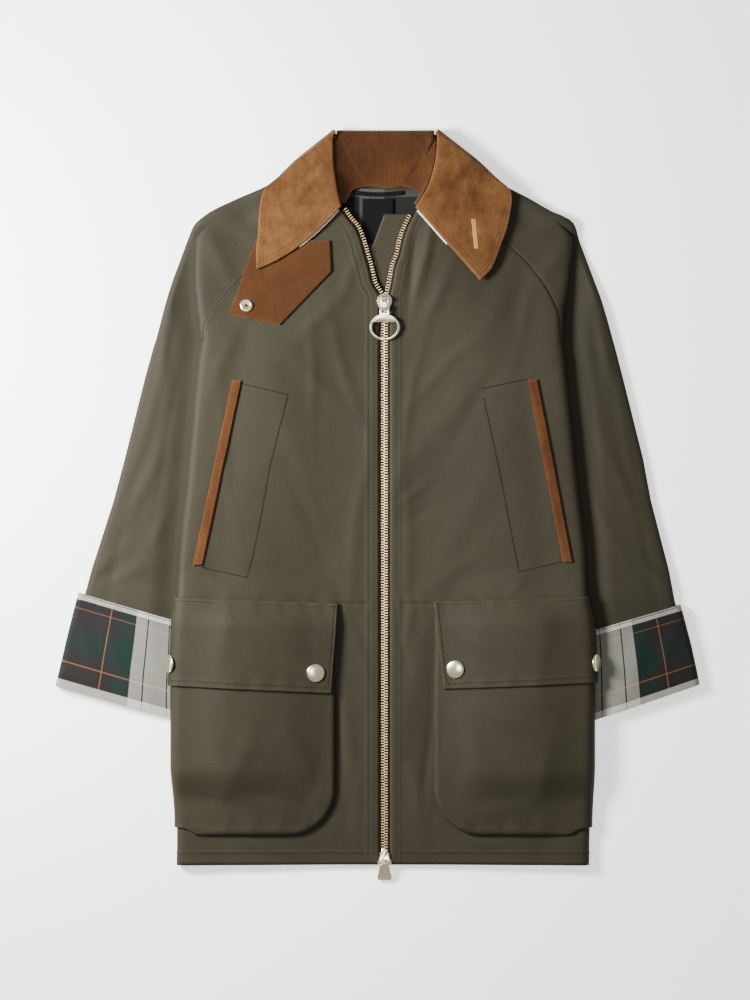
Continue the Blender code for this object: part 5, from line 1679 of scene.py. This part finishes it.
def turned_piece(name, profile, place, normal, finish):
    """A closed profile of radius and height swept round an axis and stood on the cloth."""
    profile = np.array(profile, float)
    angles = np.linspace(0, 2 * math.pi, TURN_STEPS, endpoint=False)
    rings = np.stack([
        profile[:, None, 0] * np.cos(angles), profile[:, None, 0] * np.sin(angles),
        profile[:, None, 1] + 0 * angles,
    ], axis=-1)
    z_axis = np.array(normal) / np.linalg.norm(normal)
    x_axis = np.cross((0.0, 1.0, 0.0), z_axis)
    x_axis /= np.linalg.norm(x_axis)
    y_axis = np.cross(z_axis, x_axis)
    points = rings @ np.array([x_axis, y_axis, z_axis]) + np.array(place)
    index = np.arange(len(profile) * TURN_STEPS).reshape(len(profile), TURN_STEPS)
    faces = []
    for r in range(len(profile)):
        below = index[(r + 1) % len(profile)]
        faces += np.stack(
            [index[r], np.roll(index[r], -1), np.roll(below, -1), below], axis=-1
        ).tolist()
    mesh = bpy.data.meshes.new(name)
    mesh.from_pydata(metres(points.reshape(-1, 3)).tolist(), [], faces)
    mend(mesh, merge=True, normals=True)
    mesh.materials.append(finish)
    mesh.shade_smooth()
    mesh.set_sharp_from_angle(angle=CAP_SHARP)
    obj = added(name, mesh)
    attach(obj, BODY)
    return obj


def on_cloth(side, s, y, layer, gap):
    """Place and normal of a point on a layer of cloth."""
    step = 3.0
    at = side.lifted(s, y, layer(s, y))
    along = side.lifted(s + step, y, layer(s + step, y)) - side.lifted(
        s - step, y, layer(s - step, y)
    )
    up = side.lifted(s, y + step, layer(s, y + step)) - side.lifted(s, y - step, layer(s, y - step))
    normal = np.cross(along, up) * side.sign
    normal /= np.linalg.norm(normal)
    return at + normal * (WALL / 2 + gap), normal


CAP_RADIUS, CAP_HEIGHT = 8.5, 2.8
CAP_SIDE = 0.9  # height at which the dome meets its straight side
ARC = [
    (CAP_RADIUS * math.sin(a), CAP_SIDE + (CAP_HEIGHT - CAP_SIDE) * math.cos(a))
    for a in np.linspace(0, math.pi / 2, 12)
]
CAP = [
    (0.0, CAP_HEIGHT), *ARC[1:], (CAP_RADIUS, 0.5), (CAP_RADIUS * 0.98, 0.1),
    (CAP_RADIUS * 0.94, 0.0), (0.0, 0.0)
]
SNAP_AT = {"left": (66.0, 183.5), "right": (68.0, 187.0)}
SIDE_SNAP_Y = {"left": 192.0, "right": 193.0}
SIDE_SNAP_TURN, SNAP_GAP = 7.2, 0.35

for half in SIDES:
    layer = lambda a, b, side=half: flap_out(side, a, b)
    place, normal = on_cloth(half, *SNAP_AT[half.name], layer, SNAP_GAP)
    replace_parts(turned_piece("cap_" + half.name, CAP, place, normal, BRASS), "snap_" + half.name)
    at_y = SIDE_SNAP_Y[half.name]
    place, normal = on_cloth(
        half, float(half.fold(at_y)) - SIDE_BEND + SIDE_SNAP_TURN, at_y, layer, SNAP_GAP
    )
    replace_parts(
        turned_piece(f"cap_{half.name}_side", CAP, place, normal, BRASS), f"snap_{half.name}_side"
    )
RIM = [
    (1.6, 0.5), (3.0, 0.55), (3.3, 1.5), (3.8, 1.9), (4.8, 1.9), (5.7, 1.5), (6.2, 0.8), (6.2, 0.2),
    (5.9, 0.0), (1.6, 0.0)
]
place, normal = on_cloth(LEFT, 130.6, 530.0, lambda a, b: TAB_LIFT + 0 * a, 0.3)
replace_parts(turned_piece("tab_ring", RIM, place, normal, BRASS), "tab_snap")
print("snap caps made")

# %% [markdown]
# ## Sewing
# Every seam that shows is sewn with a row of stitches a little over three millimetres apart. Each
# stitch is a small bead that dips into the cloth at both ends, and the same tree that set the
# zip's teeth lays the beads along lines drawn on the cloth.

# %% Stitch bead and lines
STITCH = small_mesh(
    "stitch_master",
    [(0, -1.25, -0.16), (0.30, -0.8, 0.02), (0, -0.8, 0.20), (-0.30, -0.8, 0.02),
     (0.34, 0.8, 0.02), (0, 0.8, 0.22), (-0.34, 0.8, 0.02), (0, 1.25, -0.16),
     (0, -0.8, -0.25), (0, 0.8, -0.25)],
    [(0, 2, 1), (0, 3, 2), (1, 2, 5, 4), (2, 3, 6, 5), (7, 4, 5), (7, 5, 6), (0, 1, 8), (0, 8, 3),
     (1, 4, 9, 8), (3, 8, 9, 6), (7, 9, 4), (7, 6, 9)],
)
STITCH_PITCH = 3.1


def drawn(side, ends, out):
    """A line over the cloth through given (s, y) corners, out above the fronts."""
    ends = np.array(ends, float)
    length = np.concatenate([[0], np.cumsum(np.linalg.norm(np.diff(ends, axis=0), axis=1))])
    at = np.linspace(0, length[-1], max(int(length[-1] / 2.5), 3))
    s, y = np.interp(at, length, ends[:, 0]), np.interp(at, length, ends[:, 1])
    height = out(s, y) if callable(out) else out
    return side.lifted(s, y, height + WALL / 2)


def placket_line(side, offset):
    y = np.linspace(16, 600, 260)
    return side.lifted(
        side.edge(y) + offset, y,
        turned_edge(np.full(len(y), offset), PLACKET[side.name]) + WALL / 2
    )


def hem_line(side):
    s = np.linspace(8, side.fold(11.0) - SIDE_BEND + 16, 90)
    y = 0 * s + HEM - 2.0
    return side.lifted(s, y, turned_edge(y, HEM) + WALL / 2)


def waist_line(side):
    """Just above the waist seam, from the zip to the flap."""
    s = np.linspace(PLACKET[side.name] + 6, FLAP[side.name][0] + 1, 20)
    y = WAIST + 2.4 + 0 * s
    return side.lifted(s, y, waist(s, y) + WALL / 2)


def raglan_line(side, inward):
    y = np.linspace(508, 640, 70)
    s = side.raglan(y) - inward
    return side.lifted(np.minimum(s, side.fold(y) - SIDE_BEND + 4), y, WALL / 2 + 0 * y)


def bag_line(side, inset):
    """Round the bag's sewn edge, inset from it, from its top at the zip side to the side fold."""
    r = BAG_CORNER - inset
    turn = np.linspace(math.pi, 1.5 * math.pi, 24)
    corner_s = BAG_EDGE + BAG_CORNER + r * np.cos(turn)
    corner_y = BAG_BOTTOM + BAG_CORNER + r * np.sin(turn)
    wide = float(side.fold(60.0)) - SIDE_BEND
    s = np.concatenate(
        [np.full(40, BAG_EDGE + inset), corner_s, np.linspace(BAG_EDGE + BAG_CORNER, wide, 50)]
    )
    y = np.concatenate(
        [np.linspace(166, BAG_BOTTOM + BAG_CORNER, 40), corner_y, np.full(50, BAG_BOTTOM + inset)]
    )
    y = y + np.where(y < 60, 6 * smooth((s - wide + 20) / 25), 0)
    inside = smooth(bag_depth(s, y) / 14)
    out = PITCH + bag_rise(side, s, y) + inside * creased(BAG_CREASES, side.name, s, y) + WALL / 2
    out = out + puckered(BAG_PUCKERS, s, y - BAG_BOTTOM - 7, 11.0) * smooth(bag_depth(s, y) / 4)
    return side.lifted(s, y, out)


def flap_line(side, up, inset):
    """Along the flap's lower edge and up its inner end, inset from both."""
    top_s, low_s, top_in, _, low_in, low_out = FLAP[side.name]
    end = float(side.fold(175.0)) - SIDE_BEND + 4
    s = np.linspace(low_s + inset, end, 60)
    y = low_in + (low_out - low_in) * (s - low_s) / (end - low_s) + up
    rise = np.linspace(top_in - 3, low_in + up, 30)
    inner = low_s + (top_s - low_s) * (rise - low_in) / (top_in - low_in) + inset
    s, y = np.concatenate([inner, s]), np.concatenate([rise, y])
    return side.lifted(
        s, y, flap_out(side, s, y) + 0.4 + creased(FLAP_CREASES, side.name, s, y) + WALL / 2
    )


# Corners of the hand pockets' stitched rectangles, beside each welt.
POCKET_BOX = {
    "left": (
        ((132.5, 456), (92.6, 446.5)),
        ((92.6, 443.7), (108.8, 380), (116.4, 337), (125.9, 290), (130.6, 273.6)),
        ((172.4, 283), (132.5, 273.6)),
    ),
    "right": (
        ((93.6, 452.2), (134.4, 460.8)),
        ((94.5, 442.5), (103.2, 403.8), (111.0, 366.0), (119.4, 322.0), (127.6, 279.3)),
        ((127.6, 278.6), (169.6, 288.8)),
    ),
}
olive_lines = [placket_line(LEFT, 4.4), placket_line(LEFT, 9.6), placket_line(RIGHT, 7.0)]
for half in SIDES:
    olive_lines += [hem_line(half), raglan_line(half, 3.0), waist_line(half)]
    olive_lines += [bag_line(half, 2.0), flap_line(half, 5.0, 3.5)]
    olive_lines += [drawn(half, ends, 0.0) for ends in POCKET_BOX[half.name]]
    top_in, top_out, top_s = FLAP[half.name][2], FLAP[half.name][3], FLAP[half.name][0]
    edge_line = ((top_s + 3, top_in - 3.5), (float(half.fold(250.0)) - 4, top_out - 3.5))
    olive_lines.append(drawn(half, edge_line, lambda a, b, side=half: flap_out(side, a, b)))
repeated("stitches_olive", olive_lines, STITCH, STITCH_PITCH, THREAD)
# Beside the hand pockets' boxes, stitches set close end to end: a painted shadow line at the seam.
SHADOW_LINE_PITCH = 1.9
seam_shadow_lines = [
    drawn(half, [(s - 0.9, y) for s, y in ends], 0.05)
    for half in SIDES for ends in POCKET_BOX[half.name]
]
repeated("seam_lines_olive", seam_shadow_lines, STITCH, SHADOW_LINE_PITCH, THREAD)


# %% Collar, tab, welt and cuff stitches
def fall_line(rows, inset, side):
    """Round the fall's free edges, inset from them."""
    rays = finer_rows(rows, 60)
    line = []
    share = 1 - inset / 85.0
    for ray in rays[3:]:
        s, y = fall_point(ray, share)
        line.append((side.sign * s, y, float(fall_height(side, s, y)) + WALL / 2))
    roll_s, roll_y, edge_s, edge_y, bow = rays[0]
    front_edge = []
    for at in np.linspace(0.06, share, 40):
        s, y = fall_point(rays[0], at)
        along = np.array([edge_s - roll_s, edge_y - roll_y - bow * 4 * (1 - 2 * at)])
        along /= np.linalg.norm(along)
        s, y = s - along[1] * inset, y + along[0] * inset
        front_edge.append((side.sign * s, y, float(fall_height(side, s, y)) + WALL / 2))
    return [line, front_edge]


brown_lines = []
for inset in (3.6, 7.0):
    brown_lines += fall_line(FALL_LEFT, inset, LEFT) + fall_line(FALL_RIGHT, inset, RIGHT)
stand_back_rows = STAND_GRID[SIDE_STATIONS:SIDE_STATIONS + BACK_STATIONS, 14:16]
brown_lines.append(stand_back_rows.mean(axis=1) + (0, 0, WALL / 2 + 0.1))
TAB_EDGE = ((135.0, 565), (144.0, 524.5), (101.0, 515.5), (53.5, 563.5), (55, 585))
brown_lines.append(
    drawn(LEFT, [(s - 2.2 if s > 120 else s + 0.6, y) for s, y in TAB_EDGE], TAB_LIFT)
)
for half in SIDES:
    s0, y0, s1, y1 = WELT[half.name]
    for over in (-3.2, 3.2):
        brown_lines.append(drawn(half, ((s0 + over, y0 - 2), (s1 + over, y1 + 2)), PITCH + 0.15))
repeated("stitches_brown", brown_lines, STITCH, STITCH_PITCH * 0.85, THREAD_BROWN)


def cuff_line(side, at):
    """Across the shown half of the cuff, at millimetres from its upper edge."""
    share = at / CUFF_LENGTH
    outer_y, outer_s, inner_y, inner_s = leaning(CUFF[side.name], share * CUFF_ROWS)
    s = np.linspace(float(side.fold(220)) + 2, outer_s - ARM_BEND, 50)
    y = inner_y + (outer_y - inner_y) * (s - inner_s) / (outer_s - inner_s)
    shown, top = arm_shown(side, s, y)
    top = top + 2 * PITCH + 0.5 + creased(CUFF_CREASES, side.name, s, y) * shown
    return np.stack([side.sign * s, y, top + WALL / 2], axis=-1)


dark_lines = [cuff_line(half, at) for half in SIDES for at in (2.0, 9.5)]
repeated("stitches_dark", dark_lines, STITCH, STITCH_PITCH * 0.8, THREAD_DARK)

# %% Buttonhole on the right fall
HOLE_S, HOLE_TOP, HOLE_LOW, HOLE_HALF, HOLE_PITCH = 84.0, 611.5, 584.5, 2.4, 0.62


def buttonhole():
    """Close bars of thread on both sides of a slit, worked along the hole."""
    lines = []
    for over in (-HOLE_HALF * 0.42, HOLE_HALF * 0.42):
        y = np.linspace(HOLE_TOP, HOLE_LOW, 60)
        s = HOLE_S + over + (HOLE_TOP - y) * 0.10
        lines.append(np.stack([s, y, fall_height(RIGHT, s, y) + WALL / 2 + 0.1], axis=-1))
    repeated(
        "buttonhole_gold", lines, STITCH, HOLE_PITCH, THREAD_GOLD,
        turn=(0, 0, math.pi / 2)
    )


buttonhole()
bpy.data.objects.remove(STITCH, do_unlink=True)

# %% [markdown]
# ## Floor and finish
# The floor is a wide pale sheet. It needs no curve behind, because the camera looks straight down.


# %% Floor
FLOOR_REACH, FLOOR_DROP = 6.0, 0.0004  # metres: half its size, and how far it lies below the cloth


def floor():
    mesh = bpy.data.meshes.new("studio_floor")
    low, high = -FLOOR_REACH, FLOOR_REACH
    corners = [(low, low, 0), (high, low, 0), (high, high, 0), (low, high, 0)]
    mesh.from_pydata(corners, [], [(0, 1, 2, 3)])
    look = Finish("studio_paper", 0.9, gloss=0.1)
    look.shader.inputs["Base Color"].default_value = (0.92, 0.915, 0.90, 1.0)
    look.shader.inputs["Emission Color"].default_value = (1.0, 0.995, 0.98, 1.0)
    look.shader.inputs["Emission Strength"].default_value = 0.95
    mesh.materials.append(look.material)
    obj = added("studio_floor", mesh)
    obj.location.z = -FLOOR_DROP


floor()
shown = sum(
    len(o.data.polygons) for o in bpy.data.objects if o.type == "MESH" and not o.hide_render
)
print("faces shown", shown)
